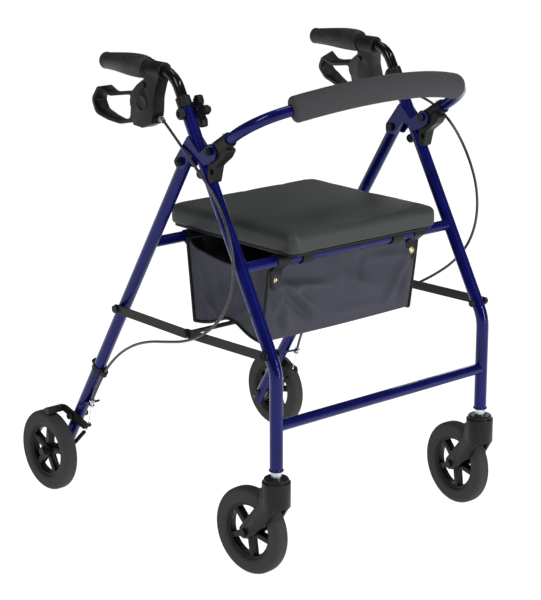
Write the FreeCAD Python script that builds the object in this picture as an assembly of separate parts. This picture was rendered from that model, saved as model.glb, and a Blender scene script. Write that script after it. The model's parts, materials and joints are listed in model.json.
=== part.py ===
"""Folding four-wheel walker with a seat, a curved backrest, loop brakes and a bag.

Frame: millimetres, +Z up, the front (swivel wheels) faces -Y and the handles point to +Y.
X = 0 is the plane of symmetry. The numbers below measure Y from a plane through the middle
of the frame; the finished pieces are moved so that the origin is under the centre of the box.
Parts of one side are modelled on the +X side, the user's left, and mirrored for the right.
A place on one side is written as (out, y, z), where out is measured from the plane of the legs.
"""
import FreeCAD, Part
import math
import os

from FreeCAD import Vector

# ---- driving dimensions -------------------------------------------------------------
LEG_X = 244.0            # plane of the legs, from the middle
LEG_R, LEG_BORE_R = 11.1, 9.6
BAR_R, BAR_BORE_R = 9.5, 8.0
HANDLE_R, HANDLE_BORE_R = 9.525, 8.3

FRONT_Y = -310.4         # vertical part of the front leg, and the swivel axis
FRONT_BOTTOM_Z, BEND_Z, POST_TOP_Z = 195.1, 365.7, 784.8
POST_SLOPE = 0.565       # mm back for each mm up, above the bend
LEG_BEND_R = 70.0

PIVOT = (-82.6, 680.0)   # rear leg on the front frame
WHEEL_R, WHEEL_HALF = 76.0, 13.0
RIM_INNER_R, RIM_OUTER_R, RIM_HALF = 44.5, 49.1, 7.0
REAR_AXLE = (294.4, WHEEL_R)
REAR_WHEEL_OUT = 37.2
BACKREST_PIVOT = (-159.7, 707.9)
CLAMP_Z = 760.0
LOWER_BAR_Z, SEAT_BAR_Z = 272.0, 521.0

CASTER_TRAIL, CASTER_YAW = 57.0, 5.0
FORK_TOP_Z, FORK_NECK_R, FORK_NECK = 184.0, 24.2, 50.0

BRACE_FRONT_Z, BRACE_REAR_Z = 391.0, 388.0
BRACE_MID = (-96.0, 386.0)
BRACE_WIDTH, BRACE_THICK = 16.0, 3.0
FRONT_LINK_OUT, REAR_LINK_OUT = 12.6, 15.9

GRIP_Z, GRIP_FRONT_Y, GRIP_REAR_Y = 822.4, 16.0, 140.0
HANDLE_BEND_R, HANDLE_INSERT, HEIGHT_TRAVEL = 45.0, 190.0, 110.0
LEVER_PIVOT = (16.0, 795.0)
LEFT_ROLL = 20.0         # degrees that the left brake set is turned outward on its handle
CABLE_MOUTH = (0.0, -24.0, 737.0)

SEAT_HALF, SEAT_FRONT_Y, SEAT_REAR_Y = 174.5, -269.4, 68.1
SEAT_TOP_Z, SEAT_PAD_Z, SEAT_BOARD_Z = 572.0, 537.5, 533.5
SEAT_CLIP_X = 105.0

BACKREST_TILT = 31.8     # degrees above level, of the plane of the backrest
BACKREST_ARM_X, BACKREST_SPAN = 246.0, 200.0
BACKREST_REACH, BACKREST_SAG = 183.0, 47.0
PAD_R, PAD_HALF_X = 22.0, 186.0

BRAKE_PIVOT_Z = 150.0
BRAKE_PEG, BRAKE_PEG_R = (208.5, 140.0), 4.0    # where the wire pulls on the brake arm
CABLE_R, WIRE_R = 2.5, 0.8
BAG_HALF, BAG_WALL = 176.0, 3.0
RUN_CLEAR = 0.05         # radial clearance of a running fit
BOX_CENTRE_Y = 16.6      # middle of the whole box in the numbers above; the origin goes there

# routes of the brake cables, each (out, y, z); the two sides hang differently
RIGHT_CABLE = [
    (0, -24, 737), (16, -80, 715), (21, -128, 682), (22, -178, 645), (22, -213, 596),
    (21, -230, 541), (21, -226, 486), (23, -201, 437), (25, -158, 400), (25, -105, 375),
    (21, -48, 361), (14, 8, 348), (7, 64, 328), (2, 118, 297), (0, 168, 250), (8, 193, 194),
]
LEFT_CABLE = [
    (29.21, -24, 742.15), (27, -68, 739), (23, -116, 739), (21, -164, 726), (22, -208, 694),
    (22, -243, 648), (24, -265, 594), (24, -268, 538), (22, -252, 487), (22, -214, 445),
    (24, -165, 411), (24, -112, 381), (20, -56, 356), (14, 2, 336), (7, 60, 318),
    (2, 116, 292), (0, 168, 250), (8, 193, 194),
]

# ---- derived places -----------------------------------------------------------------
POST_DIR = Vector(0, POST_SLOPE, 1).normalize()
REAR_SLOPE = (REAR_AXLE[0] - PIVOT[0]) / (PIVOT[1] - REAR_AXLE[1])
REAR_DIR = Vector(0, REAR_SLOPE, -1).normalize()
REAR_FRONTWARD = Vector(0, REAR_DIR.z, -REAR_DIR.y)
SEAT_HINGE_Y = FRONT_Y + POST_SLOPE * (SEAT_BAR_Z - BEND_Z)
X_AXIS = Vector(1, 0, 0)
parts = {}


def post_at(z):
    """Centre of the front leg at a height above its bend, as (y, z)."""
    return FRONT_Y + POST_SLOPE * (z - BEND_Z), z


def rear_at(z):
    """Centre of the rear leg at a height, as (y, z)."""
    return PIVOT[0] + REAR_SLOPE * (PIVOT[1] - z), z


def place(out, y, z):
    """Point on the left side, out from the plane of the legs."""
    return Vector(LEG_X + out, y, z)


def rod(start, end, radius):
    """Solid cylinder between two points."""
    along = end - start
    return Part.makeCylinder(radius, along.Length, start, along)


def cross_rod(centre, out_from, out_to, radius):
    """Solid cylinder along X at (y, z)."""
    return rod(place(out_from, *centre), place(out_to, *centre), radius)


def round_edges_at(shape, out):
    """Round edges of a cross rod at one distance out from the plane of the legs."""
    return [edge for edge in shape.Edges if edge.Closed and abs(edge.CenterOfMass.x - LEG_X - out) < 0.01]


def fuse(*shapes):
    """One solid out of several that overlap."""
    whole = shapes[0].fuse(list(shapes[1:])) if len(shapes) > 1 else shapes[0]
    return whole.removeSplitter()


def rounded_path(points, radii, closed=False):
    """Edges through points, with each corner rounded by a tangent arc."""
    count = len(points)
    stops = []
    for index, corner in enumerate(points):
        if not closed and index in (0, count - 1):
            stops.append((corner, None, corner))
            continue
        before = (points[index - 1] - corner).normalize()
        after = (points[(index + 1) % count] - corner).normalize()
        half_turn = (math.pi - before.getAngle(after)) / 2
        if half_turn < 1e-4 or radii[index] == 0:
            stops.append((corner, None, corner))
            continue
        tangent = radii[index] * math.tan(half_turn)
        inward = (before + after).normalize()
        middle = corner + inward * (radii[index] / math.cos(half_turn) - radii[index])
        stops.append((corner + before * tangent, middle, corner + after * tangent))
    edges = []
    for index, (start, middle, end) in enumerate(stops):
        if middle is not None:
            edges.append(Part.Arc(start, middle, end).toShape())
        following = stops[(index + 1) % count]
        if (closed or index < count - 1) and (following[0] - end).Length > 1e-3:
            edges.append(Part.LineSegment(end, following[0]).toShape())
    return edges


def pipe(edges, radius):
    """Solid round bar along a chain of tangent edges."""
    path = Part.Wire(edges)
    first = edges[0]
    start = first.valueAt(first.FirstParameter)
    ring = Part.Circle(start, first.tangentAt(first.FirstParameter), radius)
    return path.makePipeShell([Part.Wire([ring.toShape()])], True, False)


def plate(outline, radius, out_from, out_to):
    """Flat plate across X with rounded corners; outline is a list of (y, z)."""
    points = [place(out_from, y, z) for y, z in outline]
    radii = [radius] * len(points) if isinstance(radius, (int, float)) else radius
    face = Part.Face(Part.Wire(rounded_path(points, radii, True)))
    return face.extrude(Vector(out_to - out_from, 0, 0))


def link(centres, radius, out_from, out_to):
    """Flat bar with round ends between two (y, z) centres."""
    (y0, z0), (y1, z1) = centres
    along = Vector(0, y1 - y0, z1 - z0).normalize() * radius
    side = Vector(0, -along.z, along.y)
    ends = [(y0 - along.y, z0 - along.z), (y1 + along.y, z1 + along.z)]
    outline = [
        (ends[0][0] + side.y, ends[0][1] + side.z), (ends[0][0] - side.y, ends[0][1] - side.z),
        (ends[1][0] - side.y, ends[1][1] - side.z), (ends[1][0] + side.y, ends[1][1] + side.z),
    ]
    return plate(outline, radius * 0.98, out_from, out_to)


def cable_edges(points):
    """A cord's path: straight runs joined by the largest arcs that the runs allow."""
    radii = [0.0] * len(points)
    for index in range(1, len(points) - 1):
        back, ahead = points[index - 1] - points[index], points[index + 1] - points[index]
        half_turn = (math.pi - back.getAngle(ahead)) / 2
        radii[index] = 0.45 * min(back.Length, ahead.Length) / math.tan(half_turn)
    return rounded_path(points, radii), radii[1:-1]


def mirrored(shape):
    """The same shape on the right side."""
    return shape.mirror(Vector(0, 0, 0), X_AXIS)


def keep(name, *shapes):
    """Adds solids to a node."""
    parts.setdefault(name, []).extend(shapes)


def keep_both(name, *shapes):
    """Adds solids and their mirror images to one node."""
    for shape in shapes:
        keep(name, shape, mirrored(shape))


def keep_pair(name, *shapes):
    """Adds solids to the left node and their mirror images to the right node."""
    for shape in shapes:
        keep(name + "_left", shape)
        keep(name + "_right", mirrored(shape))


def bolt(centre, out_from, out_to, radius, head_radius, head=5.0, nut=6.0):
    """Bolt across X: a domed head at its inner end, a nut and thread at its outer end."""
    shank = cross_rod(centre, out_from, out_to, radius)
    dome = cross_rod(centre, out_from - head, out_from, head_radius)
    dome = dome.makeFillet(head * 0.55, round_edges_at(dome, out_from - head))
    hexagon = Part.makePolygon([
        place(out_to - nut - 2, centre[0] + head_radius * math.cos(math.radians(60 * k)),
              centre[1] + head_radius * math.sin(math.radians(60 * k))) for k in range(7)
    ])
    hex_nut = Part.Face(Part.Wire(hexagon)).extrude(Vector(nut, 0, 0))
    return fuse(shank, dome, hex_nut)


# ---- front frame --------------------------------------------------------------------
def front_legs():
    """Bent tubes with a rolled foot, drilled for the height clamp and the brace bolt."""
    top = post_at(POST_TOP_Z - 3)
    points = [place(0, FRONT_Y, FRONT_BOTTOM_Z), place(0, FRONT_Y, BEND_Z), place(0, *top)]
    radii = [0, LEG_BEND_R, 0]
    outer = pipe(rounded_path(points, radii), LEG_R)
    foot = Part.makeTorus(LEG_R - 0.4, 2.0, place(0, FRONT_Y, FRONT_BOTTOM_Z + 2.0), Vector(0, 0, 1))
    tube = outer.fuse(foot).cut(pipe(rounded_path(points, radii), LEG_BORE_R))
    tube = tube.cut(cross_rod(post_at(CLAMP_Z), -15, 15, 3.0 + RUN_CLEAR))
    tube = tube.cut(cross_rod(post_at(BRACE_FRONT_Z), -15, 15, 3.0 + RUN_CLEAR))
    keep_pair("front_leg", tube)


def front_bars():
    """Lower tie bar and the seat bar, coped to the legs."""
    keep("lower_crossbar", coped_bar((FRONT_Y, LOWER_BAR_Z), Vector(0, 0, 1)))
    keep("seat_front_crossbar", coped_bar((SEAT_HINGE_Y, SEAT_BAR_Z), POST_DIR))


def coped_bar(centre, leg_direction):
    """Tube along X at (y, z) whose ends are cut to the round of the legs."""
    reach = LEG_X - 2
    start, end = Vector(-reach, *centre), Vector(reach, *centre)
    tube = rod(start, end, BAR_R).cut(rod(start, end, BAR_BORE_R))
    on_leg = place(0, *centre)
    cutter = rod(on_leg - leg_direction * 400, on_leg + leg_direction * 400, LEG_R + 0.05)
    return tube.cut(cutter).cut(mirrored(cutter))


def hinge_plates():
    """A pair of plates on each post: the rear wing holds the rear leg, the front wing the backrest."""
    outline = [
        (-104, 727), (-70, 684), (-70, 668), (-91, 667), (-115, 694), (-141, 681),
        (-158, 687), (-174, 697), (-177, 712), (-165, 720), (-152, 715), (-133, 700),
    ]
    radii = [3, 6, 6, 4, 8, 5, 4, 7, 7, 6, 5, 6]
    for out_from, out_to in ((11.4, 13.9), (-13.9, -11.4)):
        side = plate(outline, radii, out_from, out_to)
        for centre in (PIVOT, BACKREST_PIVOT):
            side = side.cut(cross_rod(centre, -15, 15, 4.0))
        keep_both("hinge_plates", side)


def post_fittings():
    """Collar at the top of each post, bumper under the plates, clamp bolt with its cap."""
    top = place(0, *post_at(POST_TOP_Z))
    sleeve = rod(top - POST_DIR * 19, top, 12.7)
    sleeve = sleeve.makeFillet(1.2, [e for e in sleeve.Edges if e.Closed and e.Length > 70])
    inner = rod(top - POST_DIR * 20, top - POST_DIR * 2.9, LEG_R + 0.05)
    sleeve = sleeve.cut(inner).cut(rod(top - POST_DIR * 4, top + POST_DIR, HANDLE_R + RUN_CLEAR))
    keep_both("post_collars", sleeve)

    back = Vector(0, POST_DIR.z, -POST_DIR.y)
    spot = place(0, *post_at(672.0))
    stub = rod(spot + back * (LEG_R - 1), spot + back * (LEG_R + 12), 8.0)
    rings = [edge for edge in stub.Edges if edge.Closed]
    stub = stub.makeFillet(2.5, [max(rings, key=lambda edge: (edge.CenterOfMass - spot).Length)])
    post = rod(spot - POST_DIR * 30, spot + POST_DIR * 30, LEG_R + 0.05)
    keep_both("bumpers", stub.cut(post))

    clamp = post_at(CLAMP_Z)
    shank = cross_rod(clamp, -25, 14, 3.0)
    cap = cross_rod(clamp, 12.9, 18.5, 10.0)
    cap = cap.makeFillet(2.5, round_edges_at(cap, 18.5))
    hollow = cross_rod(clamp, 16.5, 20.0, 4.5)
    keep_both("clamp_bolts", fuse(shank, cap).cut(hollow))


def frame_bolts():
    """Pivot bolts of the rear legs and of the backrest, and the front bolts of the braces."""
    keep_both("frame_bolts", bolt(PIVOT, -15.5, 23, 3.95, 7.5))
    keep_both("frame_bolts", bolt(BACKREST_PIVOT, -15.5, 23, 3.95, 7.0))
    keep_both("frame_bolts", bolt(post_at(BRACE_FRONT_Z), -12.6, 24, 3.0, 6.5, nut=5.0))


def caster_stems():
    """Zinc stem plugged in each front leg, with its flange and the nut inside the fork."""
    low, high = FORK_TOP_Z - 33, FRONT_BOTTOM_Z + 40
    axis = Vector(0, 0, 1)
    stem = Part.makeCylinder(5.5, high - low, place(0, FRONT_Y, low), axis)
    plug = Part.makeCylinder(LEG_BORE_R - 0.05, 38, place(0, FRONT_Y, FRONT_BOTTOM_Z + 1), axis)
    flange = Part.makeCylinder(9.0, 10.5, place(0, FRONT_Y, FORK_TOP_Z + 0.5), axis)
    nut = Part.makeCylinder(8.5, 6, place(0, FRONT_Y, low), axis)
    keep_both("caster_stems", fuse(stem, plug, flange, nut))


# ---- rear frame ---------------------------------------------------------------------
def rear_legs():
    """Straight tubes from the pivot to below the axle."""
    start = place(0, *PIVOT) - REAR_DIR * 13
    end = place(0, *REAR_AXLE) + REAR_DIR * 20
    tube = rod(start, end, LEG_R).cut(rod(start, end, LEG_BORE_R))
    tube = tube.cut(cross_rod(PIVOT, -15, 15, 4.0))
    tube = tube.cut(cross_rod(REAR_AXLE, -15, 15, 4.0 + RUN_CLEAR))
    tube = tube.cut(cross_rod(rear_at(BRAKE_PIVOT_Z), -15, 15, 3.0 + RUN_CLEAR))
    keep_pair("rear_leg", tube)
    keep("seat_rear_crossbar", coped_bar(rear_at(SEAT_BAR_Z), REAR_DIR))


def rear_axles():
    """Axle bolts with a spacer between the leg and the wheel."""
    hub_in, hub_out = REAR_WHEEL_OUT - 14.2, REAR_WHEEL_OUT + 14.2
    shank = cross_rod(REAR_AXLE, -12, hub_out + 2, 4.0)
    head = cross_rod(REAR_AXLE, -17, -11.2, 7.0)
    spacer = cross_rod(REAR_AXLE, 11.2, hub_in - 0.3, 8.0)
    cap = cross_rod(REAR_AXLE, hub_out + 0.3, hub_out + 5.3, 7.5)
    keep_both("rear_leg_bolts", fuse(shank, head, spacer, cap))


def cable_fittings():
    """Clip, tab and adjuster that hold the lower end of each brake cable, on the rear legs."""
    centre = place(0, *rear_at(258.0))
    band = rod(centre - REAR_DIR * 5, centre + REAR_DIR * 5, 13.0)
    saddle_at = centre + REAR_FRONTWARD * 17.5
    saddle = rod(saddle_at - REAR_DIR * 5, saddle_at + REAR_DIR * 5, 6.5)
    screw = rod(centre - REAR_FRONTWARD * 10, centre - REAR_FRONTWARD * 17.5, 6.0)
    clip = fuse(band, saddle, screw)
    clip = clip.cut(rod(centre - REAR_DIR * 9, centre + REAR_DIR * 9, LEG_R + 0.05))
    for route in (LEFT_CABLE, RIGHT_CABLE):
        edges, _ = cable_edges([place(*point) for point in route])
        clip = clip.cut(pipe(edges, CABLE_R + 0.3))
    keep_both("cable_clips", clip)

    top, low = place(*LEFT_CABLE[-1]), anchor_point()
    along = (low - top).normalize()
    tab_at = top + along * 8
    foot = place(0, *rear_at(tab_at.z - 14))
    side = (foot - tab_at)
    side.x = 0
    side.normalize()
    corner = tab_at - side * 7
    tab = Part.makeBox(16, (foot - corner).Length, 4.0, Vector(-8, 0, -0.5))
    turn = FreeCAD.Rotation(X_AXIS, math.degrees(math.atan2(side.z, side.y)))
    tab.Placement = FreeCAD.Placement(Vector(LEG_X + 3, corner.y, corner.z), turn)
    leg = rod(place(0, *rear_at(300)), place(0, *rear_at(100)), LEG_R + 0.05)
    tab = tab.cut(leg).cut(rod(top, low, 3.2))
    for start, end in ((-3.0, 5.8), (11.7, 20.0)):
        tab = tab.cut(rod(top + along * start, top + along * end, 5.8))
    keep_both("cable_tabs", max(tab.Solids, key=lambda solid: solid.Volume))

    barrel = rod(top + along * 0.8, top + along * 16, 3.1)
    nut_top = rod(top + along * 2, top + along * 5.5, 5.5)
    nut_low = rod(top + along * 12, top + along * 15, 5.5)
    adjuster = fuse(barrel, nut_top, nut_low).cut(rod(top, low, WIRE_R + 0.2))
    keep_both("lower_adjusters", adjuster)


def anchor_point():
    """Where the brake wire ends on the brake arm."""
    return place(8, *BRAKE_PEG)


def brake_parts():
    """Pivot bolt and return spring on the leg, and the arm with the shoe over the tyre."""
    pivot = rear_at(BRAKE_PIVOT_Z)
    keep_both("rear_leg_bolts", bolt(pivot, -12.6, 27, 3.0, 6.5, nut=5.0))

    lug = rear_at(86.0)
    hook = rod(place(8, lug[0] - 4, lug[1]), place(8, lug[0] - 26, lug[1] - 2), 1.6)
    start = place(8, 213, 132)
    end = place(8, lug[0] - 25, lug[1] - 1)
    coil = rod(start, end, 3.8)
    keep_both("brake_springs", coil.fuse(hook).cut(
        rod(place(0, *rear_at(200)), place(0, *rear_at(60)), LEG_R + 0.1)))

    arm = plate(
        [(204, 147), (201, 137), (212, 133), (247, 141), (262, 148), (286, 154.4), (287.5, 163),
         (268, 164.5), (247, 159)],
        [5, 5, 5, 8, 8, 2, 2, 8, 8], 13.2, 17.2)
    shoe = plate([(272, 152.6), (286, 154.4), (287.5, 163), (273, 165)], 2, 13.2, 52.0)
    peg = cross_rod(BRAKE_PEG, 4.0, 14.0, BRAKE_PEG_R)
    keep_pair("brake_arm", fuse(arm, shoe, peg).cut(cross_rod(pivot, 0, 30, 3.0 + RUN_CLEAR)))


# ---- wheels -------------------------------------------------------------------------
def revolved(profile, radii):
    """Solid turned about X from a closed outline of (x, r)."""
    points = [Vector(x, 0, r) for x, r in profile]
    face = Part.Face(Part.Wire(rounded_path(points, radii, True)))
    return face.revolve(Vector(0, 0, 0), X_AXIS, 360)


def tyre_shape():
    """Solid rubber tyre about the X axis."""
    return revolved(
        [(-RIM_HALF, RIM_OUTER_R + 0.1), (RIM_HALF, RIM_OUTER_R + 0.1), (WHEEL_HALF, 56),
         (WHEEL_HALF, 69), (6, WHEEL_R), (-6, WHEEL_R), (-WHEEL_HALF, 69), (-WHEEL_HALF, 56)],
        [1, 1, 6, 7, 8, 8, 7, 6])


def rim_shape():
    """Five-spoke rim with its hub, bored for the axle."""
    ring = revolved([(-RIM_HALF, RIM_INNER_R), (RIM_HALF, RIM_INNER_R), (RIM_HALF, RIM_OUTER_R),
                     (-RIM_HALF, RIM_OUTER_R)], [1.5, 1.5, 0.4, 0.4])
    hub = Part.makeCylinder(13, 28, Vector(-14, 0, 0), X_AXIS)
    whole = [ring, hub]
    for step in range(5):
        spoke = Part.makeBox(11, 9, 37, Vector(-5.5, -4.5, 10))
        spoke.rotate(Vector(0, 0, 0), X_AXIS, 72 * step + 18)
        whole.append(spoke)
    return fuse(*whole).cut(Part.makeCylinder(4.0 + RUN_CLEAR, 40, Vector(-20, 0, 0), X_AXIS))


def to_place(shape, place_at, yaw=0.0):
    """A wheel moved to its axle."""
    moved = shape.copy()
    moved.translate(place_at)
    if yaw:
        moved.rotate(place(0, FRONT_Y, 0), Vector(0, 0, 1), yaw)
    return moved


def wheels():
    """Four equal wheels: two on the rear legs, two in the forks."""
    for name, shape in (("tyre", tyre_shape()), ("rim", rim_shape())):
        keep_pair("rear_" + name, to_place(shape, place(REAR_WHEEL_OUT, *REAR_AXLE)))
        front_at = place(0, FRONT_Y + CASTER_TRAIL, WHEEL_R)
        keep_pair("front_" + name, to_place(shape, front_at, -CASTER_YAW))


def caster_forks():
    """Fork with a barrel neck and two arms that reach back to the axle, and the axle bolt."""
    axle = (FRONT_Y + CASTER_TRAIL, WHEEL_R)
    up = Vector(0, 0, 1)
    neck = Part.makeCylinder(FORK_NECK_R, FORK_NECK - 6, place(0, FRONT_Y, FORK_TOP_Z - FORK_NECK), up)
    neck = neck.makeFillet(2.0, [e for e in neck.Edges if e.Closed and e.valueAt(0).z > FORK_TOP_Z - 7])
    crown = Part.makeCylinder(FORK_NECK_R - 3.2, 8, place(0, FRONT_Y, FORK_TOP_Z - 8), up)
    crown = crown.makeFillet(2.5, [e for e in crown.Edges if e.Closed and e.valueAt(0).z > FORK_TOP_Z - 1])
    cheeks = []
    outline = [
        (FRONT_Y - 11, FORK_TOP_Z - 16), (FRONT_Y - 14, FORK_TOP_Z - 50), (FRONT_Y + 4, FORK_TOP_Z - 79),
        (axle[0] - 9, axle[1] - 9), (axle[0] + 9, axle[1] - 8), (axle[0] + 9, axle[1] + 8),
        (FRONT_Y + 20, FORK_TOP_Z - 43), (FRONT_Y + 18, FORK_TOP_Z - 16),
    ]
    for out_from, out_to in ((14.6, 20.6), (-20.6, -14.6)):
        cheeks.append(plate(outline, [4, 6, 12, 7, 7, 7, 12, 4], out_from, out_to))
        cheeks.append(cross_rod(axle, out_from, out_to, 10.0))
    bridge = plate(
        [(FRONT_Y - 11, FORK_TOP_Z - 16), (FRONT_Y - 14, FORK_TOP_Z - 48), (FRONT_Y + 20, FORK_TOP_Z - 48),
         (FRONT_Y + 18, FORK_TOP_Z - 16)], 4, -20.6, 20.6)
    fork = fuse(neck, crown, bridge, *cheeks)
    fork = fork.cut(cross_rod(axle, -14.6, 14.6, WHEEL_R + 3))
    fork = fork.cut(Part.makeCylinder(5.5 + RUN_CLEAR, 60, place(0, FRONT_Y, FORK_TOP_Z - 55), up))
    fork = fork.cut(Part.makeCylinder(10, 25, place(0, FRONT_Y, FORK_TOP_Z - 49), up))
    fork = fork.cut(cross_rod(axle, -30, 30, 4.0))
    shank = cross_rod(axle, -20.6, 20.6, 3.95)
    heads = [cross_rod(axle, -24.5, -20.7, 6.5), cross_rod(axle, 20.7, 24.5, 6.5)]
    axle_bolt = fuse(shank, *[h.fuse(cross_rod(axle, -21, 21, 3.9)) for h in heads])
    for name, shape in (("caster_fork", fork), ("front_axle", axle_bolt)):
        keep_pair(name, to_place(shape, Vector(0, 0, 0), -CASTER_YAW))


# ---- folding braces -----------------------------------------------------------------
def braces():
    """Two flat links a side that lock straight, joined across by a rod under the bag."""
    front, rear = post_at(BRACE_FRONT_Z), rear_at(BRACE_REAR_Z)
    half = BRACE_WIDTH / 2
    front_link = link((front, BRACE_MID), half, FRONT_LINK_OUT, FRONT_LINK_OUT + BRACE_THICK)
    front_link = front_link.cut(cross_rod(front, 0, 30, 3.0 + RUN_CLEAR))
    keep_both("brace_front_links", front_link.cut(cross_rod(BRACE_MID, 0, 30, 3.0)))

    outer = REAR_LINK_OUT + BRACE_THICK
    rear_link = link((BRACE_MID, rear), half, REAR_LINK_OUT, outer)
    rivet = fuse(cross_rod(rear, 11.6, REAR_LINK_OUT, 6.5), cross_rod(rear, outer, outer + 4, 7.0))
    rear_link = rear_link.cut(cross_rod(BRACE_MID, 0, 30, 3.0 + RUN_CLEAR))
    keep_both("brace_rear_links", fuse(rear_link, *rivet.Solids))

    reach = LEG_X + FRONT_LINK_OUT
    bar = rod(Vector(-reach, *BRACE_MID), Vector(reach, *BRACE_MID), 4.0)
    pin = cross_rod(BRACE_MID, FRONT_LINK_OUT - 1, outer + 1, 3.0)
    end = cross_rod(BRACE_MID, outer + 0.5, outer + 3, 6.0)
    tip = fuse(pin, end)
    keep("brace_rod", fuse(bar, tip, mirrored(tip)))


# ---- handles and brakes -------------------------------------------------------------
def handle_tubes():
    """Black tube that telescopes in the post, with a slot for the clamp bolt."""
    top = place(0, *post_at(POST_TOP_Z))
    corner = place(0, *post_at(GRIP_Z))
    points = [top - POST_DIR * HANDLE_INSERT, corner, place(0, GRIP_REAR_Y - 4, GRIP_Z)]
    edges = rounded_path(points, [0, HANDLE_BEND_R, 0])
    tube = pipe(edges, HANDLE_R).cut(pipe(edges, HANDLE_BORE_R))
    clamp = place(0, *post_at(CLAMP_Z))
    low = clamp - POST_DIR * HEIGHT_TRAVEL
    slot = link(((low.y, low.z), (clamp.y, clamp.z)), 3.1, -15, 15)
    keep_pair("handle_tube", tube.cut(slot))


def grips():
    """Grip that is wider at its front, on the outer side, as a palm rest."""
    sections = [
        (GRIP_FRONT_Y, 2, 1, 17, 17.5), (GRIP_FRONT_Y + 7, 4, 2.5, 20.5, 20.5),
        (GRIP_FRONT_Y + 45, 4, 2.5, 20.5, 20), (GRIP_FRONT_Y + 85, 1.5, 2, 17, 16.5),
        (GRIP_REAR_Y - 6, 0, 0.5, 14.5, 14.5), (GRIP_REAR_Y, 0, 0.5, 13, 13),
    ]
    wires = []
    for y, out, up, half_x, half_z in sections:
        centre = place(out, y, GRIP_Z + up)
        long_side = Vector(half_x, 0, 0) if half_x > half_z else Vector(0, 0, half_z)
        short = Vector(0, 0, half_z) if half_x > half_z else Vector(half_x, 0, 0)
        if half_x == half_z:
            curve = Part.Circle(centre, Vector(0, 1, 0), half_x)
        else:
            curve = Part.Ellipse(centre + long_side, centre + short, centre)
        wires.append(Part.Wire([curve.toShape()]))
    grip = wires_to_solid(wires)
    bore = rod(place(0, GRIP_FRONT_Y - 5, GRIP_Z), place(0, GRIP_REAR_Y - 3.5, GRIP_Z), HANDLE_R + 0.05)
    keep_pair("grip", grip.cut(bore))


def wires_to_solid(wires):
    """Ruled solid through a row of rings."""
    return Part.makeLoft(wires, True, True)


def keep_brake(name, shape):
    """Adds a piece of the brake sets: upright on the right handle, turned outward on the left one."""
    turned = shape.copy()
    turned.rotate(place(0, 0, GRIP_Z), Vector(0, 1, 0), -LEFT_ROLL)
    keep(name + "_left", turned)
    keep(name + "_right", mirrored(shape))


def brake_housings():
    """Housing clamped round the handle, hollow and open to the rear for the lever."""
    outline = [
        (14, 815), (18, 804), (34, 794), (51, 779), (55, 761), (48, 744), (46, 724), (20, 722),
        (-5, 732), (-10, 751), (-12, 777), (-20, 800), (-27, 815),
    ]
    body = plate(outline, [2, 2, 4, 6, 16, 4, 2, 4, 4, 14, 20, 8, 2], -11, 13)
    collar = rod(place(0, -28, GRIP_Z), place(0, 14.5, GRIP_Z), 15.0)
    collar = collar.makeFillet(1.5, [e for e in collar.Edges if e.Closed])
    lip = rod(place(0, 10.5, GRIP_Z), place(0, 15, GRIP_Z), 17.0)
    shell = fuse(body, collar, lip.makeFillet(1.0, [e for e in lip.Edges if e.Closed]))
    cavity = [(60, 790), (60, 715), (49, 721), (22, 725.5), (-1.5, 734), (-6.5, 752), (-8.5, 777), (-9, 788),
              (-6, 803), (16, 803), (31, 790)]
    shell = shell.cut(plate(cavity, [0, 0, 0, 2, 2, 10, 8, 4, 3, 3, 0], -8, 10))
    shell = shell.cut(plate([(44, 700), (70, 700), (70, 790), (44, 790)], 0, -8, 10))
    shell = shell.cut(rod(place(0, -40, GRIP_Z), place(0, 40, GRIP_Z), HANDLE_R + 0.05))
    shell = shell.cut(cross_rod(LEVER_PIVOT, -12, 14, 3.0))
    for out, up in ((4.0, 2.5), (4.6, 1.0)):        # room for the grip, upright and turned
        shell = shell.cut(rod(place(out, 15.3, GRIP_Z + up), place(out, 60, GRIP_Z + up), 20.9))
    shell = shell.cut(rod(place(0, 10, 748), barrel_tip(), 3.55))
    ring = cross_rod((21, 764), 12.0, 13.8, 14.0).cut(cross_rod((21, 764), 11.0, 15.0, 12.2))
    keep_brake("brake_housing", shell.fuse(ring).removeSplitter())

    screw = fuse(cross_rod(LEVER_PIVOT, -13.5, 13.5, 2.95), cross_rod(LEVER_PIVOT, 13.2, 16.0, 5.5),
                 cross_rod(LEVER_PIVOT, -14.0, -11.2, 5.0))
    screw = screw.cut(plate([(11.5, 794.2), (20.5, 794.2), (20.5, 795.8), (11.5, 795.8)], 0, 15.0, 17.0))
    keep_brake("lever_screw", screw)

    tip = barrel_tip()
    along = (place(*CABLE_MOUTH) - tip).normalize()
    root = tip - along * 13
    barrel = fuse(rod(root, tip - along * 1.5, 3.5), rod(tip - along * 9, tip - along * 5.5, 5.5),
                  rod(tip - along * 4, tip, 4.2))
    keep_brake("cable_barrel", barrel.cut(rod(root - along, tip + along, WIRE_R + 0.3)))


def barrel_tip():
    """Mouth of the upper cable adjuster."""
    return place(*CABLE_MOUTH) + Vector(0, 1.2, 0.48)


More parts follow.
